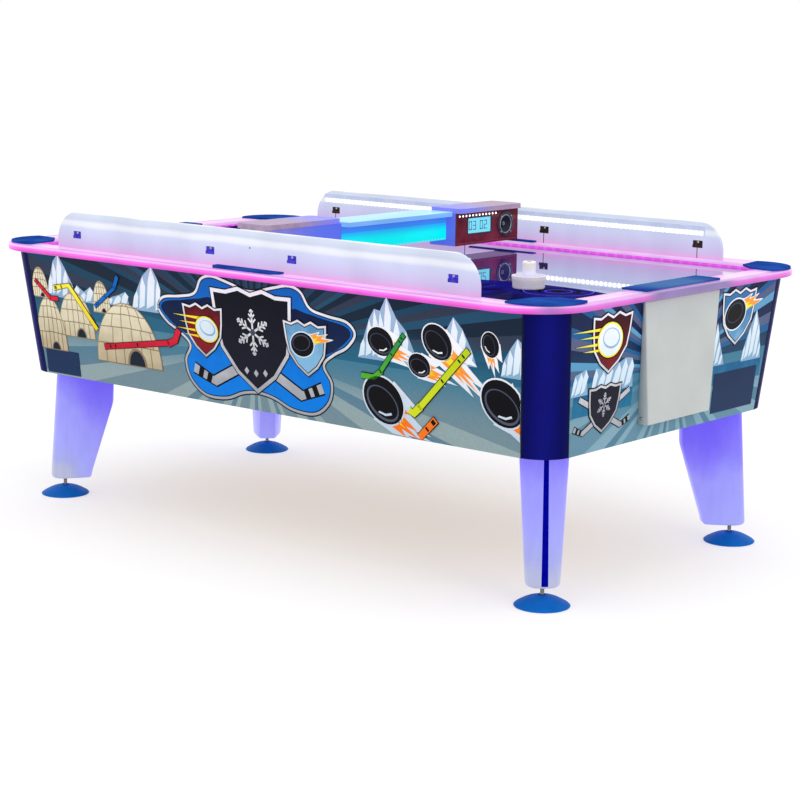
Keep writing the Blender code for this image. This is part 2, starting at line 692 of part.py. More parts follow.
def build():
    clear_scene()
    cabinet_floor()
    plenum_tray()
    playfield()
    bridge_beam()
    bridge_cover()
    for side in SIDES:
        side_panel(side)
        side_rail(side)
        side_cap(side)
        guard(side)
        guard_light(side)
        score_box(side)
        score_panel(side)
    for end in ENDS:
        end_panel(end)
        end_rail(end)
        goal_cap(end)
        puck_box(end)
        puck_cover(end)
        mallet(end)
    for corner in CORNERS:
        corner_post(corner)
        rail_corner(corner)
        corner_cap(corner)
        leg(corner)
        foot_stem(corner)
        foot_pad(corner)
    blower_housing()
    blower_motor()
    blower_impeller()
    control_unit()
    puck()


build()
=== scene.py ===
"""Looks for the air hockey table: lit rail, frosted guards, printed cabinet, score bridge and fittings.

Metres, +Z up. +X runs to the table's right end, and -Y is its front side.
"""

import math

import bmesh
import bpy
from mathutils import Matrix, Vector
from mathutils.geometry import tessellate_polygon


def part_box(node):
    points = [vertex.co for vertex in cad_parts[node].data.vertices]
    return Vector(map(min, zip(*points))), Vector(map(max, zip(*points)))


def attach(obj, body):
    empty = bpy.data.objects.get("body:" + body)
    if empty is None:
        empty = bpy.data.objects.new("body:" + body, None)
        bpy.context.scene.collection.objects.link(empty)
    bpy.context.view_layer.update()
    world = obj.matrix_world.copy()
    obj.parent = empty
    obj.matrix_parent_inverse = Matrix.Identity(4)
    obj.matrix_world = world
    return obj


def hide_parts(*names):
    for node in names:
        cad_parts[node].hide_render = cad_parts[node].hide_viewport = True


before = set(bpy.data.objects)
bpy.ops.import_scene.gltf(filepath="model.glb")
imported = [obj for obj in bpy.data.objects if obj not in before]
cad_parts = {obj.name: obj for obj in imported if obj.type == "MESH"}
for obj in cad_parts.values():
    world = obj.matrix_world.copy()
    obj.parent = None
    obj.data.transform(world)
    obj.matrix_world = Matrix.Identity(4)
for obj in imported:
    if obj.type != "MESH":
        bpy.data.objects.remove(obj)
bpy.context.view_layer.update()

ROOT = "table"
GAP = 0.0003
RAIL_TOP = 0.800
RAIL_UNDER = 0.7815
RAIL_HALF = (1.0665, 0.643)
RAIL_RADIUS = 0.170
RAIL_WIDTH = 0.085
FIELD_TOP = 0.785
GOAL_HALF = 0.150
GOAL_DEPTH = 1.012

CABINET_BOTTOM = 0.399
CABINET_TOP = RAIL_UNDER - GAP
TOP_HALF = (1.0317, 0.5841)
BOTTOM_HALF = (1.001, 0.5378)
POST_RADIUS = 0.0876
PANEL = 0.018

GUARD_HALF = 0.8025
GUARD_INNER = 0.5686
GUARD_OUTER = 0.5786
GUARD_TOP = 0.909
GUARD_RADIUS = 0.085
WINDOWS = (-0.718, -0.157, 0.157, 0.718)
WINDOW_Z = 0.842
WINDOW = (0.036, 0.022)
LIGHT_Z = (0.8675, 0.8965)

CAP_Z = (0.8003, 0.8058)
FOOT_AT = (0.9334, 0.4572)
LEG_BOTTOM = 0.055
LEG_TOP = 0.3987
LEG_KINK = 0.289

BOX_Y = (0.235, 0.545)
BOX_Z = (0.8085, 0.9078)
ROOF_TOP = 0.9225
MALLET_AT = (0.707, -0.242)
MALLET_RADIUS = 0.0464145
PUCK_AT = (-0.250, 0.080)
HOVER = 0.0005

ENDS = {"right": 1, "left": -1}
SIDES = {"front": -1, "back": 1}
CORNERS = {f"{side}_{end}": (ENDS[end], SIDES[side]) for side in SIDES for end in ENDS}


# --- Finishes ---------------------------------------------------------------------------------

def tint(red, green, blue):
    """A display colour as the linear values that shaders take."""
    return tuple(c / 12.92 if c <= 0.04045 else ((c + 0.055) / 1.055) ** 2.4 for c in (red, green, blue))


class Finish:
    """One procedural material, with short calls for the nodes that it is made of."""

    def __init__(self, name, **settings):
        self.material = bpy.data.materials.new(name)
        self.material.use_nodes = True
        self.tree = self.material.node_tree
        self.shader = self.tree.nodes["Principled BSDF"]
        for socket, value in settings.items():
            self.shader.inputs[socket.replace("_", " ")].default_value = value
        self.place = self.tree.nodes.new("ShaderNodeTexCoord").outputs["Object"]

    def feed(self, socket, value):
        if isinstance(value, bpy.types.NodeSocket):
            self.tree.links.new(value, socket)
        else:
            socket.default_value = (*value, 1) if socket.type == "RGBA" and len(value) == 3 else value

    def node(self, kind, inputs, output=0, **settings):
        made = self.tree.nodes.new("ShaderNode" + kind)
        for key, value in settings.items():
            setattr(made, key, value)
        for key, value in inputs.items():
            self.feed(made.inputs[key], value)
        return made.outputs[output]

    def calc(self, operation, *values):
        return self.node("Math", dict(enumerate(values)), operation=operation)

    def vector(self, operation, *values, output=0):
        return self.node("VectorMath", dict(enumerate(values)), output, operation=operation)

    def axes(self, source=None):
        split = self.tree.nodes.new("ShaderNodeSeparateXYZ")
        self.tree.links.new(source or self.place, split.inputs[0])
        return split.outputs

    def noise(self, scale, detail=3.0, stretch=(1, 1, 1)):
        spread = self.vector("MULTIPLY", self.place, stretch)
        return self.node("TexNoise", {"Vector": spread, "Scale": scale, "Detail": detail})

    def span(self, value, low, high, to_low=0.0, to_high=1.0):
        inputs = {"Value": value, "From Min": low, "From Max": high, "To Min": to_low, "To Max": to_high}
        return self.node("MapRange", inputs, interpolation_type="SMOOTHSTEP")

    def ramp(self, value, *stops, mode="LINEAR"):
        made = self.tree.nodes.new("ShaderNodeValToRGB")
        self.feed(made.inputs[0], value)
        made.color_ramp.interpolation = mode
        points = made.color_ramp.elements
        for number, (place, colour) in enumerate(stops):
            point = points[number] if number < 2 else points.new(place)
            point.position = place
            point.color = (*colour, 1)
        return made.outputs[0]

    def mix(self, share, one, other, blend="MIX"):
        made = self.tree.nodes.new("ShaderNodeMix")
        made.data_type = "RGBA"
        made.blend_type = blend
        for index, value in ((0, share), (6, one), (7, other)):
            self.feed(made.inputs[index], value)
        return made.outputs[2]

    def bump(self, height, strength=0.3, distance=0.001):
        inputs = {"Height": height, "Strength": strength, "Distance": distance}
        self.feed(self.shader.inputs["Normal"], self.node("Bump", inputs))
        return self

    def texture(self, scale, strength, distance):
        """A fine, even roughness of the surface."""
        return self.bump(self.noise(scale, 2.0), strength, distance)

    def drift(self, low, high, *noise):
        """A value that wanders between low and high."""
        return self.span(self.noise(*noise), 0.3, 0.7, low, high)

    def rough(self, value, low, high):
        self.feed(self.shader.inputs["Roughness"], self.span(value, 0.3, 0.7, low, high))
        return self

    def colour(self, value):
        self.feed(self.shader.inputs["Base Color"], value)
        return self

    def grey(self, value):
        return self.node("CombineColor", {0: value, 1: value, 2: value})

    def dimmed(self, value, level):
        """A colour times a level, which may be a number or a socket."""
        other = (level, level, level) if isinstance(level, float) else self.grey(level)
        return self.mix(1.0, value, other, "MULTIPLY")

    def lit(self, value, share):
        """A colour that comes partly from inside: share of it glows, and the rest is lit from outside."""
        self.colour(self.dimmed(value, max(1.0 - share, 0.04)))
        return self.glow(value, share)

    def glow(self, value, strength):
        self.feed(self.shader.inputs["Emission Color"], value)
        self.shader.inputs["Emission Strength"].default_value = strength
        return self


def mottled(name, colour, spread=0.10, grain=45.0, fine=900.0, bump=0.15, rough=(0.35, 0.5), **settings):
    """A plain finish with slight changes of tone, sheen and surface."""
    made = Finish(name, **settings)
    darker = tint(*[c * (1 - spread) for c in colour])
    lighter = tint(*[c + (1 - c) * spread * 0.6 for c in colour])
    broad, close = made.noise(grain), made.noise(fine, 2.0)
    made.colour(made.ramp(broad, (0.3, darker), (0.7, lighter)))
    made.rough(broad, *rough)
    made.bump(close, bump, 0.0004)
    return made


def dull(name, shine, colour, *finish):
    """A mottled finish that reflects less than bare plastic does."""
    return mottled(name, colour, *finish, Specular_IOR_Level=shine)


def lit_plastic(name, colour, strength, low=0.85, grain=30.0, rough=0.35):
    """A lit plastic, a little uneven as the lights behind it are."""
    made = Finish(name, Roughness=rough, Specular_IOR_Level=0.3)
    level = made.span(made.noise(grain, 1.0), 0.25, 0.75, low, 1.0)
    made.lit(made.dimmed(tint(*colour), level), strength)
    return made.texture(800.0, 0.06, 0.0003)


def rail_finish():
    """Pink light that is strongest at the rim, with pale streaks along the top and painted shade at the ends
    and corners.
    """
    made = Finish("lit_rail", Roughness=0.25, Specular_IOR_Level=0.35)
    beyond = made.vector("SUBTRACT", made.vector("ABSOLUTE", made.place),
                         (RAIL_HALF[0] - RAIL_RADIUS, RAIL_HALF[1] - RAIL_RADIUS, 10))
    reach = made.vector("LENGTH", made.vector("MAXIMUM", beyond, (0, 0, 0)), output=1)
    inward = made.calc("DIVIDE", made.calc("SUBTRACT", RAIL_RADIUS, reach), RAIL_WIDTH)
    wave = made.drift(-0.03, 0.03, 6.0, 2.0)
    across = made.calc("ADD", inward, wave)
    top = made.ramp(
        across, (0.0, tint(1.0, 0.62, 0.96)), (0.06, tint(0.92, 0.46, 0.88)), (0.22, tint(0.86, 0.58, 0.90)),
        (0.36, tint(0.80, 0.66, 0.88)), (0.46, tint(0.96, 0.84, 0.98)), (0.55, tint(0.88, 0.62, 0.92)),
        (0.74, tint(0.97, 0.78, 0.97)), (0.90, tint(0.95, 0.60, 0.93)), (1.0, tint(0.98, 0.80, 0.98)),
    )
    axes = made.axes()
    height = made.span(axes[2], RAIL_UNDER, RAIL_TOP - 0.001)
    face = made.ramp(height, (0.0, tint(0.86, 0.30, 0.80)), (0.45, tint(1.0, 0.38, 0.90)),
                     (0.86, tint(1.0, 0.50, 0.95)), (1.0, tint(1.0, 0.78, 1.0)))
    inner = made.ramp(height, (0.0, tint(0.98, 0.55, 0.95)), (1.0, tint(0.95, 0.82, 1.0)))
    rim = made.span(inward, 0.030, 0.045)
    shade = made.mix(rim, face, made.mix(made.span(inward, 0.985, 0.999), top, inner))
    x, y = [made.calc("ABSOLUTE", axis) for axis in axes[:2]]
    # Painted shade: the rail is dimmed toward lavender along its outer edge at both ends, fully across the
    # goals, and round the corners next to the caps.
    end_rim_shade = made.calc("MULTIPLY", made.span(x, 1.040, 1.060), made.span(y, 0.15, 0.24, 1.0, 0.3))
    corner = made.calc("MULTIPLY", made.span(y, 0.50, 0.60), made.span(x, 0.98, 1.03))
    rail_shade = made.calc("MAXIMUM", end_rim_shade, made.calc("MULTIPLY", corner, 0.72))
    shade = made.mix(rail_shade, shade, tint(0.56, 0.47, 0.70))
    spots = made.span(made.noise(9.0, 2.0), 0.35, 0.65, 0.88, 1.0)
    made.lit(made.dimmed(shade, spots), 0.70)
    return made.texture(700.0, 0.06, 0.0003)


def guard_finish():
    """Frosted acrylic: clear grey above, bright along the lights, pinker down to the rail. The pink foot is
    the rail's light painted in, and most of the tone is given as glow, painted light from the strip and the
    rail.
    """
    made = Finish("frosted_acrylic", Roughness=0.42, Specular_IOR_Level=0.35)
    axes = made.axes()
    cloud = made.drift(-0.002, 0.002, 5.0, 3.0, (1, 1, 3))
    height = made.node("MapRange", {
        "Value": made.calc("ADD", axes[2], cloud), "From Min": RAIL_TOP, "From Max": GUARD_TOP})
    shade = made.ramp(
        height, (0.0, tint(0.93, 0.68, 0.92)), (0.16, tint(0.84, 0.76, 0.94)), (0.42, tint(0.83, 0.83, 0.97)),
        (0.58, tint(0.84, 0.86, 0.98)), (0.66, tint(0.94, 0.95, 1.0)), (0.74, tint(0.95, 0.96, 1.0)),
        (0.82, tint(0.83, 0.86, 0.95)), (0.97, tint(0.86, 0.90, 0.97)), (1.0, tint(1.0, 1.0, 1.0)),
    )
    patches = made.drift(0.91, 1.0, 7.0, 3.0, (1, 1, 0.6))
    # Painted light: most of the panel's tone is given as glow.
    made.lit(made.dimmed(shade, patches), 0.85)
    made.rough(made.noise(60.0), 0.38, 0.5)
    return made.texture(1600.0, 0.12, 0.0002)


def field_finish():
    """Polished laminate. Each end carries a deep navy zone with rings, and air holes run in rows."""
    made = Finish("polished_field", Roughness=0.035, IOR=1.75, Coat_Roughness=0.02)
    axes = made.axes()
    side = made.calc("SIGN", axes[0])
    x, y = made.calc("ABSOLUTE", axes[0]), made.calc("MULTIPLY", axes[1], side)

    def line(value, middle, half):
        return made.calc("LESS_THAN", made.calc("ABSOLUTE", made.calc("SUBTRACT", value, middle)), half)

    def reach(cx, cy, squeeze=1.0):
        spot = made.vector("SUBTRACT", made.node("CombineXYZ", {0: x, 1: y}), (cx, cy, 0))
        return made.vector("LENGTH", made.vector("MULTIPLY", spot, (squeeze, 1, 1)), output=1)

    ring, goal = reach(0.800, -0.235), reach(0.980, 0.0)
    lines = line(x, 0.0, 0.004)
    for value, middle, half in ((ring, 0.100, 0.003), (ring, 0.078, 0.0015), (ring, 0.054, 0.006),
                                (ring, 0.0, 0.022), (goal, 0.265, 0.0035), (x, 0.020, 0.0012)):
        lines = made.calc("MAXIMUM", lines, line(value, middle, half))
    pale = made.calc("MAXIMUM", line(ring, 0.0925, 0.002), line(ring, 0.036, 0.0018))
    zone = made.span(reach(0.720, -0.520, 0.74), 0.366, 0.374, 1.0, 0.0)
    base = made.ramp(made.noise(3.0, 4.0), (0.3, tint(0.17, 0.13, 0.46)), (0.7, tint(0.22, 0.17, 0.56)))
    deep = made.ramp(made.noise(11.0, 4.0), (0.35, tint(0.04, 0.03, 0.20)), (0.65, tint(0.10, 0.09, 0.50)))
    shade = made.mix(lines, made.mix(zone, base, deep), tint(0.02, 0.02, 0.09))
    shade = made.mix(pale, shade, tint(0.30, 0.27, 0.86))
    pitch, hole_radius = 0.025, 0.0008
    cells = made.vector("FRACTION", made.vector("DIVIDE", made.place, (pitch, pitch, 1)))
    flat = made.vector("MULTIPLY", made.vector("SUBTRACT", cells, (0.5, 0.5, 0)), (pitch, pitch, 0))
    hole = made.calc("LESS_THAN", made.vector("LENGTH", flat, output=1), hole_radius)
    made.colour(made.mix(hole, shade, tint(0.01, 0.01, 0.02)))
    # Painted light: the laminate glows slightly with its own print colour.
    made.glow(shade, 0.16)
    made.feed(made.shader.inputs["Specular IOR Level"], made.calc("MULTIPLY_ADD", zone, -0.5, 0.5))
    made.feed(made.shader.inputs["Coat Weight"], made.calc("MULTIPLY_ADD", zone, -0.975, 1.0))
    return made.bump(hole, 0.4, -0.0004)


SIDE_SKY = ((0.08, 0.15, 0.22), (0.10, 0.27, 0.37), (0.19, 0.23, 0.31), (0.13, 0.31, 0.42))
END_SKY = ((0.06, 0.13, 0.29), (0.10, 0.36, 0.58), (0.34, 0.37, 0.51), (0.36, 0.62, 0.78))
SIDE_ICE = ((0.44, 0.54, 0.58), (0.56, 0.64, 0.65), (0.37, 0.50, 0.57))
END_ICE = ((0.38, 0.54, 0.62), (0.50, 0.64, 0.70), (0.32, 0.49, 0.58))
HORIZON = 0.585


def print_finish(name, axis, sign, sky_tones, ice_tones):
    """Printed sheet: dark rays over a horizon, and pale ice with soft rays below it."""
    made = Finish(name, Specular_IOR_Level=0.07)
    axes = made.axes()
    along = made.calc("MULTIPLY", axes[axis], float(sign))
    up = made.calc("SUBTRACT", axes[2], HORIZON)
    turn = made.calc("DIVIDE", made.calc("ARCTAN2", up, along), math.pi)
    rays = made.calc("FRACT", made.calc("MULTIPLY", turn, 8.0 if axis else 11.0))
    wide = made.calc("FRACT", made.calc("ADD", made.calc("MULTIPLY", turn, 7.0), 0.3))
    a, b, c, d = [tint(*tone) for tone in sky_tones]
    sky = made.ramp(rays, (0.0, a), (0.22, b), (0.34, c), (0.50, a), (0.66, d), (0.78, c), (0.90, b),
                    mode="CONSTANT")
    haze = made.span(axes[2], HORIZON, 0.70, 0.80 if axis == 0 else 0.25, 0.0)
    sky = made.mix(haze, sky, tint(0.16, 0.42, 0.54))
    pale, bright, deep = [tint(*tone) for tone in ice_tones]
    ice = made.ramp(wide, (0.0, pale), (0.30, bright), (0.55, deep), (0.72, bright), (0.88, pale),
                    mode="CONSTANT")
    near = made.span(axes[2], 0.44, 0.60)
    ice = made.mix(made.calc("MULTIPLY", near, 0.85), ice, tint(0.19, 0.46, 0.57))
    shade = made.mix(made.calc("LESS_THAN", up, 0.0), sky, ice)
    grain = made.drift(0.93, 1.0, 160.0, 2.0)
    made.colour(made.dimmed(shade, grain))
    made.rough(made.noise(25.0), 0.30, 0.42)
    return made.texture(500.0, 0.08, 0.0003)


def shaded(name, low, high, zs=(0.42, 0.78), wave=0.02, grain=25.0, rough=0.35):
    """Printed ink that runs from one tone to another with height, with an uneven border between them."""
    made = Finish(name, Roughness=rough, Specular_IOR_Level=0.06)
    drift = made.span(made.noise(grain, 3.0), 0.3, 0.7, -wave, wave)
    height = made.span(made.calc("ADD", made.axes()[2], drift), *zs)
    made.colour(made.ramp(height, (0.0, tint(*low)), (1.0, tint(*high))))
    return made.texture(600.0, 0.08, 0.0003)


def post_finish():
    """Navy coating, with a painted highlight down the middle of each quarter round, where it faces outward.
    """
    made = Finish("navy_coating", Specular_IOR_Level=0.02)
    axes = made.axes()
    # Painted highlight: the coat is lightest along the middle of each quarter round.
    lean = made.calc("SUBTRACT", made.calc("ABSOLUTE", axes[0]), made.calc("ABSOLUTE", axes[1]))
    turn = made.calc("ABSOLUTE", made.calc("SUBTRACT", lean, 0.4500))
    shade = made.ramp(made.span(turn, 0.0, 0.085), (0.0, tint(0.06, 0.07, 0.44)),
                      (0.5, tint(0.045, 0.055, 0.39)), (1.0, tint(0.03, 0.04, 0.31)))
    made.colour(made.mix(made.drift(0.0, 0.25, 40.0), shade, tint(0.04, 0.05, 0.30)))
    made.rough(made.noise(30.0), 0.28, 0.4)
    return made.texture(1200.0, 0.15, 0.0003)


def leg_finish():
    """Lit acrylic: violet under the cabinet, lavender down the blade, clear grey at its foot, with painted
    shade on the blades' inner ends and on the back legs.
    """
    made = Finish("lit_leg", Roughness=0.35, Specular_IOR_Level=0.3)
    axes = made.axes()
    drift = made.drift(-0.02, 0.02, 7.0, 3.0)
    # Painted shade: the inner ends of the blades and the two back legs are moved up the ramp, toward its
    # deeper violet.
    inside = made.calc("ADD", made.calc("ABSOLUTE", axes[0]), made.calc("ABSOLUTE", axes[1]))
    deep = made.span(inside, 1.26, 1.40, 0.10, 0.0)
    back_leg_shade = made.span(axes[1], 0.30, 0.50, 0.0, 0.15)
    height = made.calc("ADD", made.calc("ADD", axes[2], drift), made.calc("ADD", deep, back_leg_shade))
    shade = made.ramp(
        made.span(height, LEG_BOTTOM, 0.50), (0.0, tint(0.72, 0.74, 0.86)), (0.06, tint(0.66, 0.68, 0.93)),
        (0.22, tint(0.64, 0.65, 1.0)), (0.60, tint(0.61, 0.60, 1.0)), (0.82, tint(0.52, 0.48, 1.0)),
        (1.0, tint(0.44, 0.36, 1.0)),
    )
    grain = made.drift(0.95, 1.0, 55.0, 3.0, (1, 1, 0.25))
    made.lit(made.dimmed(shade, grain), 0.72)
    return made.texture(500.0, 0.06, 0.0003)


def wood_finish():
    made = Finish("plywood", Roughness=0.7)
    grain = made.noise(18.0, 6.0, (1, 14, 6))
    made.colour(made.ramp(grain, (0.3, tint(0.52, 0.38, 0.24)), (0.55, tint(0.70, 0.55, 0.37)),
                          (0.75, tint(0.60, 0.45, 0.29))))
    return made.bump(grain, 0.3, 0.0006)


def box_finish():
    """Mauve plastic with blue light painted on: on the end wall that faces the bridge, on the roof near the
    bridge, and down the rear face.
    """
    made = Finish("score_box", Specular_IOR_Level=0.3)
    axes = made.axes()
    near = made.calc("ABSOLUTE", axes[1])
    # Painted light: the masks below put the blue light on the end wall, the roof near the bridge and the rear
    # face.
    wall = made.span(near, 0.2345, 0.2375, 1.0, 0.0)
    spill = made.span(near, BOX_Y[0], 0.440, 1.0, 0.0)
    roof = made.calc("GREATER_THAN", axes[2], 0.9080)
    forward = made.calc("MULTIPLY", axes[0], made.calc("SIGN", axes[1]))
    behind = made.calc("LESS_THAN", forward, -0.0295)
    rear = made.calc("MULTIPLY", behind, made.span(near, 0.30, 0.56, 1.0, 0.45))
    blue = made.calc("MAXIMUM", made.calc("MAXIMUM", wall, made.calc("MULTIPLY", roof, spill)),
                     made.calc("MULTIPLY", rear, made.calc("SUBTRACT", 1.0, roof)))
    cloud = made.noise(40.0)
    mauve = made.ramp(cloud, (0.3, tint(0.62, 0.53, 0.64)), (0.7, tint(0.70, 0.61, 0.72)))
    rim = made.calc("MULTIPLY", made.calc("GREATER_THAN", forward, 0.0705), made.calc("SUBTRACT", 1.0, roof))
    shade = made.mix(blue, mauve, made.mix(roof, tint(0.38, 0.47, 0.97), tint(0.52, 0.54, 0.98)))
    made.lit(made.mix(rim, shade, tint(0.40, 0.07, 0.13)), 0.45)
    made.rough(cloud, 0.35, 0.5)
    return made.texture(900.0, 0.15, 0.0003)


def bridge_finish(name, low, high, zs):
    """A lit face that runs from one tone to another with height, with soft streaks."""
    made = Finish(name, Roughness=0.3, Specular_IOR_Level=0.08)
    height = made.span(made.axes()[2], *zs)
    streak = made.drift(0.88, 1.0, 16.0, 2.0, (1, 0.25, 1))
    made.lit(made.dimmed(made.mix(height, tint(*low), tint(*high)), streak), 0.92)
    return made.texture(700.0, 0.06, 0.0003)


def cover_finish():
    made = Finish("white_powder_coat", Specular_IOR_Level=0.2)
    cloud = made.noise(6.0, 3.0)
    made.colour(made.ramp(cloud, (0.3, tint(0.70, 0.72, 0.715)), (0.7, tint(0.74, 0.76, 0.755))))
    made.rough(cloud, 0.34, 0.46)
    return made.texture(420.0, 0.12, 0.0004)


def cap_finish():
    made = Finish("glossy_blue_cap", Specular_IOR_Level=0.0)
    cloud = made.noise(14.0, 3.0)
    axes = made.axes()
    # Painted reflection: the goal caps turn paler and greyer across their middle.
    end = made.span(made.calc("ABSOLUTE", axes[1]), 0.05, 0.20, 0.55, 0.0)
    shade = made.ramp(cloud, (0.3, tint(0.08, 0.22, 0.54)), (0.7, tint(0.16, 0.33, 0.66)))
    made.colour(made.mix(end, shade, tint(0.38, 0.54, 0.70)))
    made.rough(cloud, 0.22, 0.32)
    return made.texture(90.0, 0.04, 0.0003)


def mallet_finish():
    made = Finish("mallet_plastic", IOR=1.49, Specular_IOR_Level=0.3)
    # The tone bands up the mallet, with a bluish band round the top of the cup, are painted light and
    # reflection on white plastic.
    height = made.span(made.axes()[2], FIELD_TOP, FIELD_TOP + 0.078)
    shade = made.ramp(
        height, (0.0, tint(0.86, 0.84, 0.86)), (0.30, tint(0.93, 0.91, 0.88)), (0.44, tint(0.84, 0.83, 0.96)),
        (0.52, tint(0.90, 0.90, 0.98)), (1.0, tint(0.96, 0.94, 0.88)))
    made.colour(made.mix(made.drift(0.0, 0.15, 60.0), shade, tint(0.75, 0.75, 0.90)))
    # Painted light: a slight glow.
    made.glow(shade, 0.10)
    made.rough(made.noise(30.0), 0.24, 0.32)
    return made.texture(60.0, 0.05, 0.0003)


def cone_finish():
    """Pressed paper with rings, for the speaker."""
    made = Finish("speaker_cone", Roughness=0.75)
    made.colour(made.ramp(made.noise(300.0), (0.3, tint(0.05, 0.06, 0.10)), (0.7, tint(0.13, 0.15, 0.22))))
    return made.bump(made.noise(500.0), 0.4, 0.0005)


def window_finish():
    """Dark mounting blocks, violet on the outer side where the panel's light reaches them."""
    made = Finish("window_block", Specular_IOR_Level=0.2)
    out = made.span(made.calc("ABSOLUTE", made.axes()[1]), 0.5732, 0.5742)
    grain = made.noise(120.0, 2.0)
    brown = made.ramp(grain, (0.3, tint(0.14, 0.10, 0.09)), (0.7, tint(0.30, 0.22, 0.18)))
    violet = made.ramp(grain, (0.3, tint(0.16, 0.12, 0.62)), (0.7, tint(0.30, 0.26, 0.90)))
    made.colour(made.mix(out, brown, violet))
    made.rough(grain, 0.35, 0.5)
    return made.texture(900.0, 0.2, 0.0003)


FINISHES = {
    "rail": rail_finish(), "guard": guard_finish(), "field": field_finish(), "post": post_finish(),
    "leg": leg_finish(), "wood": wood_finish(), "box": box_finish(), "cover": cover_finish(),
    "cap": cap_finish(), "mallet": mallet_finish(), "cone": cone_finish(), "window": window_finish(),
    "steel": mottled("zinc_steel", (0.70, 0.69, 0.66), 0.12, 60, 1500, 0.2, (0.18, 0.34), Metallic=1.0),
    "dark_steel": mottled("dark_steel", (0.16, 0.13, 0.12), 0.2, 60, 900, 0.3, (0.3, 0.5), Metallic=0.7),
    "alloy": mottled("anodised_alloy", (0.78, 0.79, 0.83), 0.08, 35, 1400, 0.15, (0.3, 0.42), Metallic=0.6),
    "black": mottled("black_plastic", (0.10, 0.10, 0.11), 0.2, 50, 800, 0.35, (0.45, 0.6)),
    "pad": dull("blue_foot", 0.08, (0.0, 0.38, 0.74), 0.04, 40, 700, 0.35, (0.42, 0.55)),
    "stripe": dull("navy_stripe", 0.0, (0.0, 0.01, 0.56), 0.03, 50, 900, 0.1, (0.3, 0.4)),
    "trim": dull("dark_trim", 0.06, (0.02, 0.03, 0.16), 0.12, 50, 900, 0.15, (0.3, 0.4)),
    "face": dull("dark_red_face", 0.12, (0.46, 0.06, 0.14), 0.2, 18, 900, 0.05, (0.1, 0.18)),
    "block": mottled("mount_block", (0.86, 0.87, 0.95), 0.08, 40, 900, 0.15, (0.35, 0.5)),
    "puck": dull("puck_plastic", 0.3, (0.92, 0.12, 0.36), 0.12, 60, 900, 0.2, (0.3, 0.42)),
    "gasket": dull("speaker_ring", 0.3, (0.14, 0.17, 0.27), 0.15, 60, 900, 0.3, (0.3, 0.45)),
    "led_white": lit_plastic("white_led", (0.98, 0.98, 1.0), 2.2, 0.95),
    "strip_white": lit_plastic("white_light_strip", (0.95, 0.97, 1.0), 1.05, 0.92),
    "channel": lit_plastic("light_channel", (0.82, 0.86, 0.97), 0.55, 0.9),
    "led_pink": lit_plastic("pink_led", (0.96, 0.42, 0.98), 1.0, 0.9),
    "glow_line": lit_plastic("pink_light_line", (0.91, 0.36, 0.92), 0.95, 0.88, 12.0),
    "cyan": bridge_finish("cyan_diffuser", (0.0, 0.98, 1.0), (0.16, 0.66, 0.98), (0.848, 0.884)),
    "blue_light": bridge_finish("blue_diffuser", (0.22, 0.56, 0.96), (0.27, 0.47, 0.96), (0.878, 0.898)),
    "bridge_top": bridge_finish("bridge_top", (0.50, 0.73, 1.0), (0.66, 0.88, 1.0), (0.9105, 0.9118)),
    "lcd": lit_plastic("score_display", (0.50, 0.91, 1.0), 0.85, 0.95),
    "digit": mottled("display_digit", (0.30, 0.62, 0.80), 0.1, 60, 900, 0.05),
}

# Printed inks: the tone at the bottom of a height range, the tone at its top, and the range.
INKS = {
    "snow": ((0.70, 0.64, 0.52), (0.90, 0.87, 0.76), (0.44, 0.68)),
    "snow_edge": ((0.50, 0.44, 0.35), (0.66, 0.60, 0.48), (0.44, 0.70)),
    "snow_white": ((0.74, 0.80, 0.86), (0.95, 0.96, 0.97), (0.42, 0.70)),
    "ice_light": ((0.80, 0.87, 0.92), (0.92, 0.95, 0.98), (0.55, 0.75)),
    "ice_shade": ((0.52, 0.66, 0.78), (0.62, 0.73, 0.84), (0.60, 0.76)),
    "shadow": ((0.10, 0.14, 0.20), (0.05, 0.08, 0.13)),
    "ink": ((0.03, 0.03, 0.05), (0.06, 0.06, 0.09)),
    "slate": ((0.30, 0.33, 0.40), (0.20, 0.23, 0.30)),
    "night": ((0.09, 0.10, 0.16), (0.04, 0.05, 0.10)),
    "navy": ((0.10, 0.19, 0.33), (0.03, 0.08, 0.24)),
    "blue": ((0.00, 0.47, 0.86), (0.05, 0.38, 0.72), (0.42, 0.78), 0.06),
    "sky": ((0.50, 0.70, 0.84), (0.20, 0.45, 0.66), (0.56, 0.74)),
    "water": ((0.14, 0.44, 0.58), (0.10, 0.36, 0.54), (0.50, 0.56)),
    "silver": ((0.62, 0.63, 0.66), (0.93, 0.93, 0.95), (0.44, 0.76), 0.04, 18.0, 0.3),
    "maroon": ((0.50, 0.10, 0.14), (0.24, 0.03, 0.08), (0.56, 0.74)),
    "red": ((0.72, 0.08, 0.18), (0.86, 0.13, 0.24), (0.50, 0.62)),
    "yellow": ((0.93, 0.80, 0.12), (0.98, 0.94, 0.25), (0.55, 0.72)),
    "orange": ((0.93, 0.45, 0.12), (0.97, 0.62, 0.22), (0.44, 0.68)),
    "green": ((0.30, 0.66, 0.18), (0.14, 0.55, 0.28), (0.55, 0.70)),
    "lime": ((0.80, 0.84, 0.14), (0.72, 0.80, 0.10), (0.46, 0.66)),
}
FINISHES.update({ink: shaded(f"print_{ink}", *tones) for ink, tones in INKS.items()})


# --- Mesh tools -------------------------------------------------------------------------------

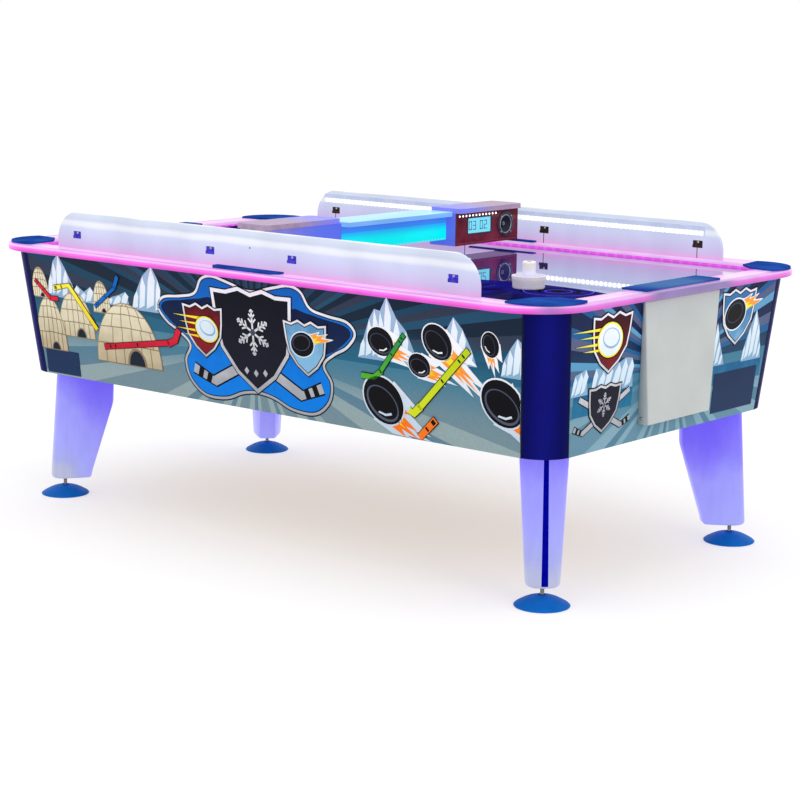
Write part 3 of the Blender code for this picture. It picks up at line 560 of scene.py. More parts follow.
def piece(name, bm, finish, body=ROOT, smooth=35, bevel=0.0, segments=2, replaces=()):
    """Turns a bmesh into a named piece that rides on a body."""
    bmesh.ops.recalc_face_normals(bm, faces=bm.faces)
    mesh = bpy.data.meshes.new(name)
    bm.to_mesh(mesh)
    bm.free()
    made = bpy.data.objects.new(name, mesh)
    bpy.context.scene.collection.objects.link(made)
    mesh.materials.append(FINISHES[finish].material)
    if bevel:
        rounding = made.modifiers.new("edges", "BEVEL")
        rounding.width = bevel
        rounding.segments = segments
        rounding.limit_method = "ANGLE"
        rounding.angle_limit = math.radians(40)
    mesh.shade_smooth()
    mesh.set_sharp_from_angle(angle=math.radians(smooth))
    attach(made, body)
    if replaces:
        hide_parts(*replaces)
    return made


def extrude(bm, loops, place, low, high):
    """Adds a closed plate. The first loop is its outline, the others are holes; place maps (u, v, w)."""
    flat = [point for loop in loops for point in loop]
    faces = tessellate_polygon([[Vector((u, v, 0)) for u, v in loop] for loop in loops])
    below = [bm.verts.new(place(u, v, low)) for u, v in flat]
    above = [bm.verts.new(place(u, v, high)) for u, v in flat]
    for a, b, c in faces:
        bm.faces.new((above[a], above[b], above[c]))
        bm.faces.new((below[c], below[b], below[a]))
    start = 0
    for loop in loops:
        for i in range(len(loop)):
            a, b = start + i, start + (i + 1) % len(loop)
            bm.faces.new((below[a], below[b], above[b], above[a]))
        start += len(loop)
    return bm


def loft(bm, sections, cap_low=True, cap_high=True):
    """Adds a skin over loops that have the same number of points, and gives back their vertices."""
    rings = [[bm.verts.new(p) for p in section] for section in sections]
    count = len(rings[0])
    for low, high in zip(rings, rings[1:]):
        for i in range(count):
            j = (i + 1) % count
            bm.faces.new((low[i], low[j], high[j], high[i]))
    if cap_low:
        bm.faces.new(rings[0])
    if cap_high:
        bm.faces.new(rings[-1])
    return rings


def flat_place(u, v, w):
    """The place of a plate that lies flat: (u, v) are x and y, and w is the height."""
    return (u, v, w)


def plate(outline, low, high):
    return extrude(bmesh.new(), [outline], flat_place, low, high)


def block(bm, xs, ys, zs):
    return extrude(bm, [[(xs[0], ys[0]), (xs[1], ys[0]), (xs[1], ys[1]), (xs[0], ys[1])]], flat_place, *zs)


def turned(bm, profile, steps, frame_at):
    """Adds a profile of (radius, height) turned about the local Z of frame_at, closed end to end."""
    rings = []
    for radius, z in profile:
        if radius < 1e-6:
            rings.append([bm.verts.new(frame_at @ Vector((0, 0, z)))] * steps)
            continue
        rings.append([
            bm.verts.new(frame_at @ Vector((radius * math.cos(a), radius * math.sin(a), z)))
            for a in (2 * math.pi * i / steps for i in range(steps))
        ])
    for low, high in zip(rings, rings[1:] + rings[:1]):
        for i in range(steps):
            j = (i + 1) % steps
            corners = []
            for corner in (low[i], low[j], high[j], high[i]):
                if corner not in corners:
                    corners.append(corner)
            if len(corners) > 2:
                bm.faces.new(corners)
    return bm


def facing(at, out):
    """A place whose local Z points along out."""
    return Matrix.Translation(Vector(at)) @ Vector(out).to_track_quat("Z", "Y").to_matrix().to_4x4()


def upright(x, y, z=0.0):
    return Matrix.Translation((x, y, z))


def arc(centre, radius, start, end, steps):
    angles = [math.radians(start + (end - start) * i / steps) for i in range(steps + 1)]
    return [(centre[0] + radius * math.cos(a), centre[1] + radius * math.sin(a)) for a in angles]


def rounded(low, high, radius, steps=5):
    """A rectangle's outline with round corners."""
    outline = []
    corners = ((high[0], high[1], -1, -1), (low[0], high[1], 1, -1), (low[0], low[1], 1, 1),
               (high[0], low[1], -1, 1))
    for turn, (x, y, sx, sy) in enumerate(corners):
        outline += arc((x + sx * radius, y + sy * radius), radius, 90 * turn, 90 * turn + 90, steps)
    return outline


def flipped(points, sx, sy):
    made = [(sx * p[0], sy * p[1], *p[2:]) for p in points]
    return made if sx * sy > 0 else made[::-1]


def inset(points, distance):
    """A loop moved inward, for loops that run anticlockwise."""
    made = []
    for before, here, after in zip(points[-1:] + points[:-1], points, points[1:] + points[:1]):
        one = (Vector(here) - Vector(before)).normalized()
        other = (Vector(after) - Vector(here)).normalized()
        lean = Vector((-one.y - other.y, one.x + other.x))
        length = max(lean.length, 0.6)
        made.append(tuple(Vector(here) + lean / length * distance * min(2 / length, 1.8)))
    return made


def smooth_loop(points, steps=6):
    """A closed curve through the points."""
    made = []
    count = len(points)
    for i in range(count):
        a, b, c, d = [Vector(points[(i + k) % count]) for k in (-1, 0, 1, 2)]
        for step in range(steps):
            t = step / steps
            made.append(tuple(0.5 * (2 * b + (c - a) * t + (2 * a - 5 * b + 4 * c - d) * t * t
                                     + (3 * b - a - 3 * c + d) * t ** 3)))
    return made


def mirrored(half):
    """A whole loop from its right half, which runs from the bottom middle up to the top middle."""
    return half + [(-u, v) for u, v in reversed(half) if abs(u) > 1e-6]


def half_size(z):
    """Half of the cabinet's length and width at height z: its walls lean out as they rise."""
    share = (z - CABINET_BOTTOM) / (RAIL_UNDER - CABINET_BOTTOM)
    return [low + (high - low) * share for low, high in zip(BOTTOM_HALF, TOP_HALF)]


# --- Rail -------------------------------------------------------------------------------------

def straight(axis, sign, start, end):
    """Stations along one straight run: a point on the rail's outer edge and the way inward."""
    other = 1 - axis
    made = []
    for t in (start, end):
        at, inward = [0, 0], [0, 0]
        at[axis], at[other], inward[other] = t, sign * RAIL_HALF[other], -sign
        made.append((*at, *inward))
    return made


def bend(sx, sy, steps=28):
    """Stations round one corner, from its end run to its side run."""
    centre = (sx * (RAIL_HALF[0] - RAIL_RADIUS), sy * (RAIL_HALF[1] - RAIL_RADIUS))
    made = []
    for i in range(steps + 1):
        c, s = math.cos(math.pi / 2 * i / steps), math.sin(math.pi / 2 * i / steps)
        made.append((centre[0] + sx * RAIL_RADIUS * c, centre[1] + sy * RAIL_RADIUS * s, -sx * c, -sy * s))
    return made


def sweep(bm, stations, profile):
    """Adds a profile of (distance inward, height) carried along the stations."""
    loft(bm, [[(x + ix * d, y + iy * d, z) for d, z in profile] for x, y, ix, iy in stations])
    return bm


def rail():
    """The rail in eight parts, narrower at the goals."""
    edge, inner = 0.003, 0.0015
    profile = arc((edge, RAIL_UNDER + edge), edge, 270, 180, 4)
    profile += arc((edge, RAIL_TOP - edge), edge, 180, 90, 4)
    profile += arc((RAIL_WIDTH - inner, RAIL_TOP - inner), inner, 90, 0, 3) + [(RAIL_WIDTH, RAIL_UNDER + GAP)]
    reach = [half - RAIL_RADIUS - GAP / 2 for half in RAIL_HALF]
    for side, sign in SIDES.items():
        bm = sweep(bmesh.new(), straight(0, sign, -reach[0], reach[0]), profile)
        piece(f"rail_run_{side}", bm, "rail", replaces=[f"side_rail_{side}"])
    notch = RAIL_HALF[0] - GOAL_DEPTH
    outer_edge = profile[:10]
    short = outer_edge + [(notch, RAIL_TOP), (notch, RAIL_UNDER)]
    for end, sign in ENDS.items():
        bm = sweep(bmesh.new(), straight(1, sign, -GOAL_HALF, GOAL_HALF), short)
        for side in (-1, 1):
            sweep(bm, straight(1, sign, side * GOAL_HALF, side * reach[1]), profile)
        piece(f"rail_run_{end}", bm, "rail", replaces=[f"end_rail_{end}"])
    for corner, (sx, sy) in CORNERS.items():
        bm = sweep(bmesh.new(), bend(sx, sy), profile)
        piece(f"rail_bend_{corner}", bm, "rail", replaces=[f"rail_corner_{corner}"])


def rail_lights():
    """A lit line at the foot of the rail's inner edge, with its light points, open at the goals."""
    low, high, sunk, proud = FIELD_TOP + 0.0002, FIELD_TOP + 0.0056, RAIL_WIDTH - 0.001, 0.0006
    wall = [(sunk, low), (sunk, high), (RAIL_WIDTH + proud, high), (RAIL_WIDTH + proud, low)]
    pitch, half_width, half_height, rise = 0.0333, 0.0065, 0.0020, 0.0005
    for side, sy in SIDES.items():
        run = straight(1, 1, sy * (GOAL_HALF + GAP), 0)[:1] + bend(1, sy) + bend(-1, sy)[::-1]
        run += straight(1, -1, sy * (GOAL_HALF + GAP), 0)[:1]
        piece(f"rail_glow_{side}", sweep(bmesh.new(), run, wall), "glow_line")
        bm = bmesh.new()
        path = [Vector((x + ix * RAIL_WIDTH, y + iy * RAIL_WIDTH, 0)) for x, y, ix, iy in run]
        left = pitch / 2
        for a, b, station in zip(path, path[1:], run):
            length = (b - a).length
            along = (b - a) / length
            out = Vector((station[2], station[3], 0))
            while left < length:
                centre = a + along * left + Vector((0, 0, (low + high) / 2)) + out * proud
                rings = []
                for share, depth in ((1.0, -0.0003), (0.8, rise)):
                    u, v = half_width * share, half_height * share
                    rings.append([centre + along * p + Vector((0, 0, q)) + out * depth
                                  for p, q in ((-u, -v), (u, -v), (u, v), (-u, v))])
                loft(bm, rings)
                left += pitch
            left -= length
        piece(f"rail_leds_{side}", bm, "led_pink")


def caps():
    """Flat blue caps at the corners, under the score boxes and over the goals."""
    chord = [(0.916, 0.500), (0.964, 0.455)]
    for corner, signs in CORNERS.items():
        outline = flipped(arc((0.944, 0.498), 0.112, -26, 112, 36) + chord, *signs)
        bm = plate(outline, *CAP_Z)
        piece(f"cap_{corner}", bm, "cap", bevel=0.0012, replaces=[f"corner_cap_{corner}"])
    half, cut, (low, high) = 0.128, 0.02, (0.551, 0.617)
    for side, sign in SIDES.items():
        outline = [(-half, low), (half, low), (half, high - cut), (half - cut, high), (-half + cut, high),
                   (-half, high - cut)]
        bm = plate(flipped(outline, 1, sign), *CAP_Z)
        piece(f"bridge_foot_{side}", bm, "cap", bevel=0.0012, replaces=[f"side_cap_{side}"])
    half, (low, high) = 0.180, (0.960, 1.041)
    for end, sign in ENDS.items():
        outline = flipped(rounded((low, -half), (high, half), 0.006), sign, 1)
        bm = plate(outline, *CAP_Z)
        piece(f"cap_{end}", bm, "cap", bevel=0.0012, replaces=[f"goal_cap_{end}"])


# --- Guards -----------------------------------------------------------------------------------

def guards():
    """Frosted panels with four windows, each with a block, a nut, a bolt and a rod down to the rail."""
    low = RAIL_TOP + GAP
    corner = (GUARD_HALF - GUARD_RADIUS, GUARD_TOP - GUARD_RADIUS)
    notch, notch_top = 0.1286, 0.8061
    outline = [(-GUARD_HALF, low), (-notch, low), (-notch, notch_top), (notch, notch_top), (notch, low),
               (GUARD_HALF, low)]
    outline += arc(corner, GUARD_RADIUS, 0, 90, 24) + arc((-corner[0], corner[1]), GUARD_RADIUS, 90, 180, 24)
    wide, tall = WINDOW[0] / 2, WINDOW[1] / 2
    holes = [rounded((x - wide, WINDOW_Z - tall), (x + wide, WINDOW_Z + tall), 0.002, 3)[::-1]
             for x in WINDOWS]
    for side, sign in SIDES.items():
        def stand(u, v, w):
            return (u, sign * w, v)

        bm = extrude(bmesh.new(), [outline, *holes], stand, GUARD_INNER, GUARD_OUTER)
        piece(f"guard_panel_{side}", bm, "guard", bevel=0.0012, replaces=[f"guard_{side}"])
        middle = sign * (GUARD_INNER + GUARD_OUTER) / 2
        nuts, bolts = bmesh.new(), bmesh.new()
        base, block_top, nut_top, bolt_top = WINDOW_Z - tall + GAP, 0.009, 0.0142, 0.0203
        for x in WINDOWS:
            xs = (x - wide + GAP, x + wide - GAP)
            block(nuts, xs, (middle - 0.0042, middle + 0.0042), (base, base + block_top))
            block(nuts, xs, (middle - 0.0012, middle + 0.0012), (base, WINDOW_Z + tall - GAP))
            turned(nuts, [(0, block_top), (0.0062, block_top), (0.0062, 0.0135), (0.0054, nut_top),
                          (0, nut_top)], 6, upright(x, middle, base))
            turned(bolts, [(0, nut_top), (0.0042, nut_top), (0.0042, 0.0190), (0.0034, bolt_top),
                           (0, bolt_top)], 16, upright(x, middle, base))
            rod_y = sign * (GUARD_INNER - 0.0004)
            turned(nuts, [(0, RAIL_TOP + 0.001), (0.0011, RAIL_TOP + 0.001), (0.0011, base), (0, base)], 12,
                   upright(x, rod_y))
        screw = [(0, 0), (0.0032, 0), (0.0028, 0.0012), (0.0012, 0.0016), (0.0010, 0.0008), (0, 0.0008)]
        turned(bolts, screw, 16, facing((0, sign * GUARD_OUTER, 0.8615), (0, sign, 0)))
        piece(f"guard_nuts_{side}", nuts, "window", bevel=0.0005)
        piece(f"guard_bolts_{side}", bolts, "steel")


def guard_lights():
    """A bright strip with light points along the lower half of each channel."""
    for side, sign in SIDES.items():
        low, high = [Vector(corner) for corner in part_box(f"guard_light_{side}")]
        wall = sign * (GUARD_INNER - GAP - 0.006)
        strip = bmesh.new()
        ys = sorted((wall - sign * 0.0012, wall))
        block(strip, (low.x + 0.003, high.x - 0.003), ys, (LIGHT_Z[0] + 0.001, LIGHT_Z[0] + 0.0155))
        piece(f"guard_strip_{side}", strip, "strip_white", bevel=0.0005)
        dots = bmesh.new()
        x = low.x + 0.010
        while x < high.x - 0.008:
            if abs(x) > 0.08:
                at = (x, wall - sign * 0.0010, LIGHT_Z[0] + 0.008)
                turned(dots, [(0, 0), (0.0066, 0), (0.0058, 0.0014), (0.0030, 0.0022), (0, 0.0024)], 10,
                       facing(at, (0, -sign, 0)))
            x += 0.0167
        piece(f"guard_leds_{side}", dots, "led_white")


# --- Bridge and score boxes -------------------------------------------------------------------

def bridge():
    """The lit beam between the score boxes, with its diffuser, light points and top plate."""
    reach = BOX_Y[0] - GAP
    low, seam, high = 0.827, 0.878, 0.898
    bm = block(bmesh.new(), (-0.0345, 0.0345), (-reach, reach), (seam, high))
    piece("bridge_fascia", bm, "blue_light", bevel=0.001, replaces=["bridge_beam"])
    bm = block(bmesh.new(), (-0.035, 0.035), (-reach, reach), (low, seam - GAP))
    piece("bridge_diffuser", bm, "cyan", bevel=0.002)
    dots = bmesh.new()
    for sign in (1, -1):
        y = -reach + 0.012
        while y < reach:
            turned(dots, [(0, 0), (0.0015, 0), (0.0012, 0.0006), (0, 0.0008)], 8,
                   facing((sign * 0.0349, y, low + 0.003), (sign, 0, 0)))
            y += 0.0145
    piece("bridge_leds", dots, "led_pink")
    outline = rounded((-0.060, -reach), (0.060, reach), 0.004, 4)
    bm = plate(outline, 0.8983, 0.912)
    piece("bridge_plate", bm, "bridge_top", bevel=0.003, segments=3,
          replaces=["bridge_cover"])


SEGMENTS = {"0": "abcdef", "2": "abged", "3": "abgcd"}


def digit(bm, symbol, corner, size, place, depth):
    """One seven-segment digit, size high, drawn from its lower left corner."""
    thick, width = size * 0.13, size * 0.55
    spans = {
        "a": ((0, size - thick), (width, size)), "d": ((0, 0), (width, thick)),
        "g": ((0, (size - thick) / 2), (width, (size + thick) / 2)),
        "b": ((width - thick, size / 2), (width, size)), "c": ((width - thick, 0), (width, size / 2)),
        "e": ((0, 0), (thick, size / 2)), "f": ((0, size / 2), (thick, size)),
    }
    gap = size * 0.012
    for letter in SEGMENTS[symbol]:
        low, high = [(corner[0] + u, corner[1] + v) for u, v in spans[letter]]
        outline = rounded((low[0] + gap, low[1] + gap), (high[0] - gap, high[1] - gap), thick * 0.2, 2)
        extrude(bm, [outline], place, *depth)


# A score box's parts across it (from its rear to its front), and what its face holds.
BOX_REAR, BOX_MOUTH, BOX_FRONT = -0.030, 0.068, 0.072
BOX_LID = BOX_Z[1] - GAP
BOX_WALL = 0.006
BOX_INSIDE = ((BOX_Y[0] + BOX_WALL, BOX_Z[0] + BOX_WALL), (BOX_Y[1] - BOX_WALL, BOX_LID - 0.002))
DISPLAY = ((0.2945, 0.843), (0.409, 0.889))
SPEAKER_AT, SPEAKER_RADIUS = (0.481, 0.861), 0.039


def score_shell(side, turn, face):
    """The box itself, its roof, and the block that ties it to the guard."""
    (y0, y1), (z0, z1) = BOX_Y, BOX_Z
    inner_low, inner_high = BOX_INSIDE
    bm = bmesh.new()
    ring = [(y0, z0), (y1, z0), (y1, BOX_LID), (y0, BOX_LID)]
    hole = [inner_low, (inner_low[0], inner_high[1]), inner_high, (inner_high[0], inner_low[1])]
    extrude(bm, [ring, hole], face, BOX_REAR + BOX_WALL, BOX_FRONT)
    extrude(bm, [ring], face, BOX_REAR, BOX_REAR + BOX_WALL)
    bmesh.ops.remove_doubles(bm, verts=bm.verts, dist=1e-6)
    piece(f"score_shell_{side}", bm, "box", bevel=0.001, replaces=[f"score_box_{side}"])
    bm = extrude(bmesh.new(), [rounded((-0.032, y0), (0.090, y1), 0.016)], turn, z1, ROOF_TOP)
    piece(f"score_roof_{side}", bm, "box", bevel=0.005, segments=4)
    outline = rounded((-0.022, y1 + GAP), (0.060, GUARD_INNER - 0.0069), 0.002, 2)
    bm = extrude(bmesh.new(), [outline], turn, CAP_Z[1] + GAP, z1 - GAP)
    piece(f"score_mount_{side}", bm, "block", bevel=0.001)


def score_face(side, face):
    """The red face with its display, four plain digits and the hole for the speaker."""
    inner_low, inner_high = BOX_INSIDE
    lcd_low, lcd_high = DISPLAY
    edge = 0.0005
    outline = rounded([v + edge for v in inner_low], [v - edge for v in inner_high], 0.002, 3)
    screen = rounded(lcd_low, lcd_high, 0.0015, 3)[::-1]
    cut = arc(SPEAKER_AT, SPEAKER_RADIUS - 0.004, 360, 0, 40)[:-1]
    bm = extrude(bmesh.new(), [outline, screen, cut], face, BOX_MOUTH, BOX_FRONT - 0.0004)
    piece(f"score_face_{side}", bm, "face", bevel=0.0006, replaces=[f"score_panel_{side}"])
    rim = 0.003
    grown = rounded([v - rim for v in lcd_low], [v + rim for v in lcd_high], rim, 3)
    bm = extrude(bmesh.new(), [grown, screen], face, BOX_FRONT - 0.0004, BOX_FRONT + 0.0010)
    piece(f"score_frame_{side}", bm, "gasket", bevel=0.0004)
    bm = extrude(bmesh.new(), [screen[::-1]], face, BOX_MOUTH - 0.002, BOX_MOUTH + 0.001)
    piece(f"score_screen_{side}", bm, "lcd")
    digits = bmesh.new()
    for symbol, left in (("0", 0.302), ("3", 0.322), ("0", 0.356), ("2", 0.376)):
        digit(digits, symbol, (left, 0.852), 0.028, face, (BOX_MOUTH + 0.001, BOX_MOUTH + 0.0014))
    piece(f"score_digits_{side}", digits, "digit")


def speaker(side, sign):
    """A cone in a ring, with a bright trim and four screws."""
    r = SPEAKER_RADIUS
    at = Matrix(((0, 0, sign, sign * BOX_FRONT), (sign, 0, 0, sign * SPEAKER_AT[0]), (0, 1, 0, SPEAKER_AT[1]),
                 (0, 0, 0, 1)))
    bm = turned(bmesh.new(), [(r - 0.010, -0.003), (r, -0.0004), (r, 0.0015), (r - 0.002, 0.0028),
                              (r - 0.008, 0.0028), (r - 0.010, 0.001)], 64, at)
    piece(f"speaker_ring_{side}", bm, "gasket")
    bm = turned(bmesh.new(), [(r - 0.0125, 0.0002), (r - 0.0102, 0.0002), (r - 0.0102, 0.0016),
                              (r - 0.0115, 0.0022), (r - 0.0125, 0.0016)], 64, at)
    turned(bm, [(0.0036, -0.0076), (0.0052, -0.0078), (0.0050, -0.0066), (0.0038, -0.0064)], 32, at)
    piece(f"speaker_trim_{side}", bm, "alloy")
    bm = turned(bmesh.new(), [
        (r - 0.0105, -0.0030), (r - 0.0125, -0.0005), (r - 0.0150, -0.0005), (r - 0.0170, -0.0030),
        (0.0100, -0.0140), (0.0092, -0.0105), (0.0060, -0.0080), (0, -0.0072), (0, -0.0160),
        (r - 0.0105, -0.0160),
    ], 64, at)
    piece(f"speaker_cone_{side}", bm, "cone")
    screws = bmesh.new()
    for u, v in arc((0, 0), r - 0.005, 45, 315, 3):
        turned(screws, [(0, 0.0026), (0.0031, 0.0026), (0.0026, 0.0038), (0.0012, 0.0042), (0, 0.0036)], 12,
               at @ Matrix.Translation((u, v, 0)))
    piece(f"speaker_screws_{side}", screws, "steel")


def score_leds(side, sign, turn):
    dots = bmesh.new()
    for number in range(12):
        y = 0.2535 + number * 0.0162
        turned(dots, [(0, -0.0006), (0.0031, -0.0006), (0.0027, 0.0010), (0, 0.0016)], 12,
               facing(turn(BOX_FRONT, y, 0.8975), (sign, 0, 0)))
    piece(f"score_leds_{side}", dots, "led_white")


def score_boxes():
    for side, sign in SIDES.items():
        def turn(x, y, z):
            return (sign * x, sign * y, z)

        def face(u, v, w):
            return turn(w, u, v)

        score_shell(side, turn, face)
        score_face(side, face)
        speaker(side, sign)
        score_leds(side, sign, turn)


# --- Printed cabinet --------------------------------------------------------------------------

LAYER = 0.00022


class Print:
    """Flat shapes laid over one panel. All shapes of one ink become one thin piece."""

    def __init__(self, panel, place, axis):
        self.panel, self.place, self.axis, self.inks = panel, place, axis, {}

    def add(self, ink, level, outline):
        """Adds one shape, kept within the panel's edges."""
        bm = self.inks.setdefault(ink, bmesh.new())
        kept = []
        for u, v in outline:
            v = min(max(v, CABINET_BOTTOM + 0.001), CABINET_TOP - 0.001)
            reach = half_size(v)[self.axis] - POST_RADIUS - 0.001
            kept.append((min(max(u, -reach), reach), v))
        extrude(bm, [kept], self.place, 0.00002, LAYER * level)

    def line(self, ink, level, points, width):
        """A stroke of even width through the points."""
        left, right = [], []
        for i, here in enumerate(points):
            before, after = points[max(i - 1, 0)], points[min(i + 1, len(points) - 1)]
            way = (Vector(after) - Vector(before)).normalized() * width / 2
            left.append((here[0] - way.y, here[1] + way.x))
            right.append((here[0] + way.y, here[1] - way.x))
        self.add(ink, level, left + right[::-1])

    def done(self):
        for ink, bm in self.inks.items():
            piece(f"print_{self.panel}_{ink}", bm, ink, smooth=20)


def side_place(sign):
    """Maps a side panel's (along, height, depth) to space. Along runs to the right as seen from outside."""
    def place(u, v, w):
        return (-sign * u, sign * (half_size(v)[1] + w), v)
    return place


def end_place(sign):
    """Maps an end panel's (along, height, depth) to space. Along runs to the right as seen from outside."""
    def place(u, v, w):
        return (sign * (half_size(v)[0] + w), sign * u, v)
    return place


def ellipse(at, size, lean=0.0, steps=28):
    c, s = math.cos(math.radians(lean)), math.sin(math.radians(lean))
    points = []
    for i in range(steps):
        a = 2 * math.pi * i / steps
        u, v = size[0] * math.cos(a), size[1] * math.sin(a)
        points.append((at[0] + u * c - v * s, at[1] + u * s + v * c))
    return points


def dome(at, size, steps):
    """The upper half of an ellipse."""
    return [(at[0] + size[0] * math.cos(a), at[1] + size[1] * math.sin(a))
            for a in (math.pi * i / steps for i in range(steps + 1))]


def iceberg(art, left, right, base, peaks, level=1):
    """A jagged block of ice: lit facets on the left of each peak, and shaded ones on its right."""
    top = max(v for _, v in peaks)
    outline = [(left, base), (right, base), *reversed(peaks)]
    art.add("ice_shade", level, outline)
    for number, (u, v) in enumerate(peaks):
        low = base + (v - base) * 0.06
        before = peaks[number - 1][0] if number else left
        facet = [(before + (u - before) * 0.15, low), (u - (u - before) * 0.05, low + (v - base) * 0.10),
                 (u + 0.012 * (v - base) / (top - base), v - (v - base) * 0.30), (u, v - 0.002),
                 (u - (u - before) * 0.45, v - (v - base) * 0.33)]
        art.add("ice_light", level + 1, facet)


def igloo(art, at, size, level):
    """A snow house: a dome of blocks in rows, with a round doorway."""
    (u0, v0), (w, h) = at, size
    edge, rows, bottom_row = 0.003, 5, 7
    art.add("snow_edge", level, dome((u0, v0 - edge), (w + edge, h + 2 * edge), 30))
    art.add("snow", level + 1, dome(at, size, 30))
    stroke = 0.0022 + 0.006 * h
    seams = [(w * math.cos(math.pi / 2 * row / rows), v0 + h * math.sin(math.pi / 2 * row / rows))
             for row in range(rows + 1)]
    for reach, v in seams[1:rows]:
        art.line("snow_edge", level + 2, [(u0 - reach, v), (u0, v + h * 0.02), (u0 + reach, v)], stroke)
    for row, ((reach, low), (above, high)) in enumerate(zip(seams, seams[1:])):
        count = bottom_row - row
        for k in range(1, count):
            share = 2 * (k + (0.5 if row % 2 else 0.0)) / count - 1
            if abs(share) < 0.95:
                top = u0 + (reach * 0.4 + above * 0.6) * share
                art.line("snow_edge", level + 2, [(u0 + reach * share, low), (top, high)], stroke)
    door_at, door = (u0 + w * 0.25, v0), (0.30 * w, 0.375 * w)
    art.add("snow_edge", level + 3, dome(door_at, door, 16))
    art.add("shadow", level + 4, dome(door_at, (door[0] * 0.8, door[1] * 0.86), 16))


def comet(art, at, radius, lean, trail, level):
    """A flying puck, dark with a pale rim, and its trail of snow and flame."""
    c, s = math.cos(math.radians(lean)), math.sin(math.radians(lean))

    def turn(u, v):
        return (at[0] + (u * c - v * s) * radius, at[1] + (u * s + v * c) * radius)

    length = trail / radius
    tail = [(-share * length, v) for share, v in (
        (0.0, 1.0), (0.35, 0.82), (0.72, 0.62), (0.55, 0.40), (1.0, 0.16), (0.60, 0.02), (0.86, -0.34),
        (0.40, -0.42), (0.55, -0.86), (0.0, -1.0))][::-1]
    art.add("snow_white", level, [turn(u, v) for u, v in tail])
    art.add("orange", level + 1, [turn(u * 0.72 - 0.1, v * 0.60 + 0.12) for u, v in tail])
    art.add("yellow", level + 2, [turn(u * 0.45 - 0.1, v * 0.34 + 0.16) for u, v in tail])
    art.add("snow_white", level + 2, ellipse(at, (radius * 1.10, radius * 0.93), lean))
    art.add("ink", level + 3, ellipse(at, (radius * 1.03, radius * 0.86), lean))
    art.add("slate", level + 4, ellipse(turn(-0.03, 0.13), (radius * 0.86, radius * 0.60), lean))
    art.add("ink", level + 5, ellipse(turn(-0.03, 0.10), (radius * 0.78, radius * 0.52), lean))
    art.add("snow_white", level + 6, [turn(u, v) for u, v in (
        (-0.62, 0.22), (-0.40, 0.46), (-0.05, 0.58), (-0.05, 0.50), (-0.36, 0.38), (-0.55, 0.16))])


def stick(art, ink, points, width, level, blade=None):
    """A hockey stick: a shaft, a turned blade if it shows, and three bands of tape."""
    art.line("ink", level, points, width + 0.004)
    art.line(ink, level + 1, points, width)
    if blade:
        art.line("ink", level, blade, width * 1.25 + 0.004)
        art.line(ink, level + 1, blade, width * 1.25)
    start, end = Vector(points[0]), Vector(points[1])
    band = (end - start).normalized() * width * 0.16
    for share in (0.10, 0.18, 0.52):
        centre = start.lerp(end, share)
        art.line("ink", level + 2, [tuple(centre - band), tuple(centre + band)], width * 0.7)


def shield(art, ink, at, size, level, border=0.006, top=0.14):
    """A pointed shield with a notched top edge."""
    (u0, v0), (w, h) = at, size
    half = [(0, -1.0), (0.48, -0.66), (0.84, -0.20), (0.94, 0.30), (1.0, 0.92), (0.62, 1.0 - top),
            (0.30, 1.0), (0, 1 - top)]
    outline = [(u0 + u * w, v0 + v * h) for u, v in mirrored(half)]
    art.add("ink", level, inset(outline, -0.003))
    art.add("silver", level + 1, outline)
    art.add("ink", level + 2, inset(outline, border))
    art.add(ink, level + 3, inset(outline, border + 0.0025))


def snowflake(art, at, radius, level):
    """Six arms, each with three pairs of barbs."""
    centre = Vector(at)
    for way in [Vector((u, v)) for u, v in arc((0, 0), 1.0, 30, 330, 5)]:
        across = Vector((-way.y, way.x))
        art.line("silver", level, [tuple(centre), tuple(centre + way * radius)], radius * 0.10)
        for start, length in ((0.38, 0.30), (0.62, 0.24), (0.84, 0.14)):
            for sign in (1, -1):
                root = centre + way * radius * start
                tip = root + (way * 0.7 + across * sign * 0.7) * radius * length
                art.line("silver", level, [tuple(root), tuple(tip)], radius * 0.075)
    art.add("slate", level + 1, ellipse(at, (radius * 0.16, radius * 0.16), 0, 6))


def crossed_sticks(art, at, reach, drop, level):
    """Two sticks that cross behind a shield, with taped blades at the bottom."""
    u0, v0 = at
    for sign in (1, -1):
        heel = (u0 + sign * reach * 0.72, v0 - drop)
        toe = (u0 + sign * reach * 1.06, v0 - drop + reach * 0.13)
        width = reach * 0.12
        shaft_end = (u0 - sign * reach * 0.95, v0 + drop * 1.05)
        art.line("ink", level, [shaft_end, heel, toe], width * 1.35)
        art.line("silver", level + 1, [shaft_end, heel, toe], width)
        for share in (0.15, 0.55):
            a = Vector(heel).lerp(Vector(toe), share)
            b = Vector(heel).lerp(Vector(toe), share + 0.22)
            art.line("ink", level + 2, [tuple(a), tuple(b)], width * 1.05)


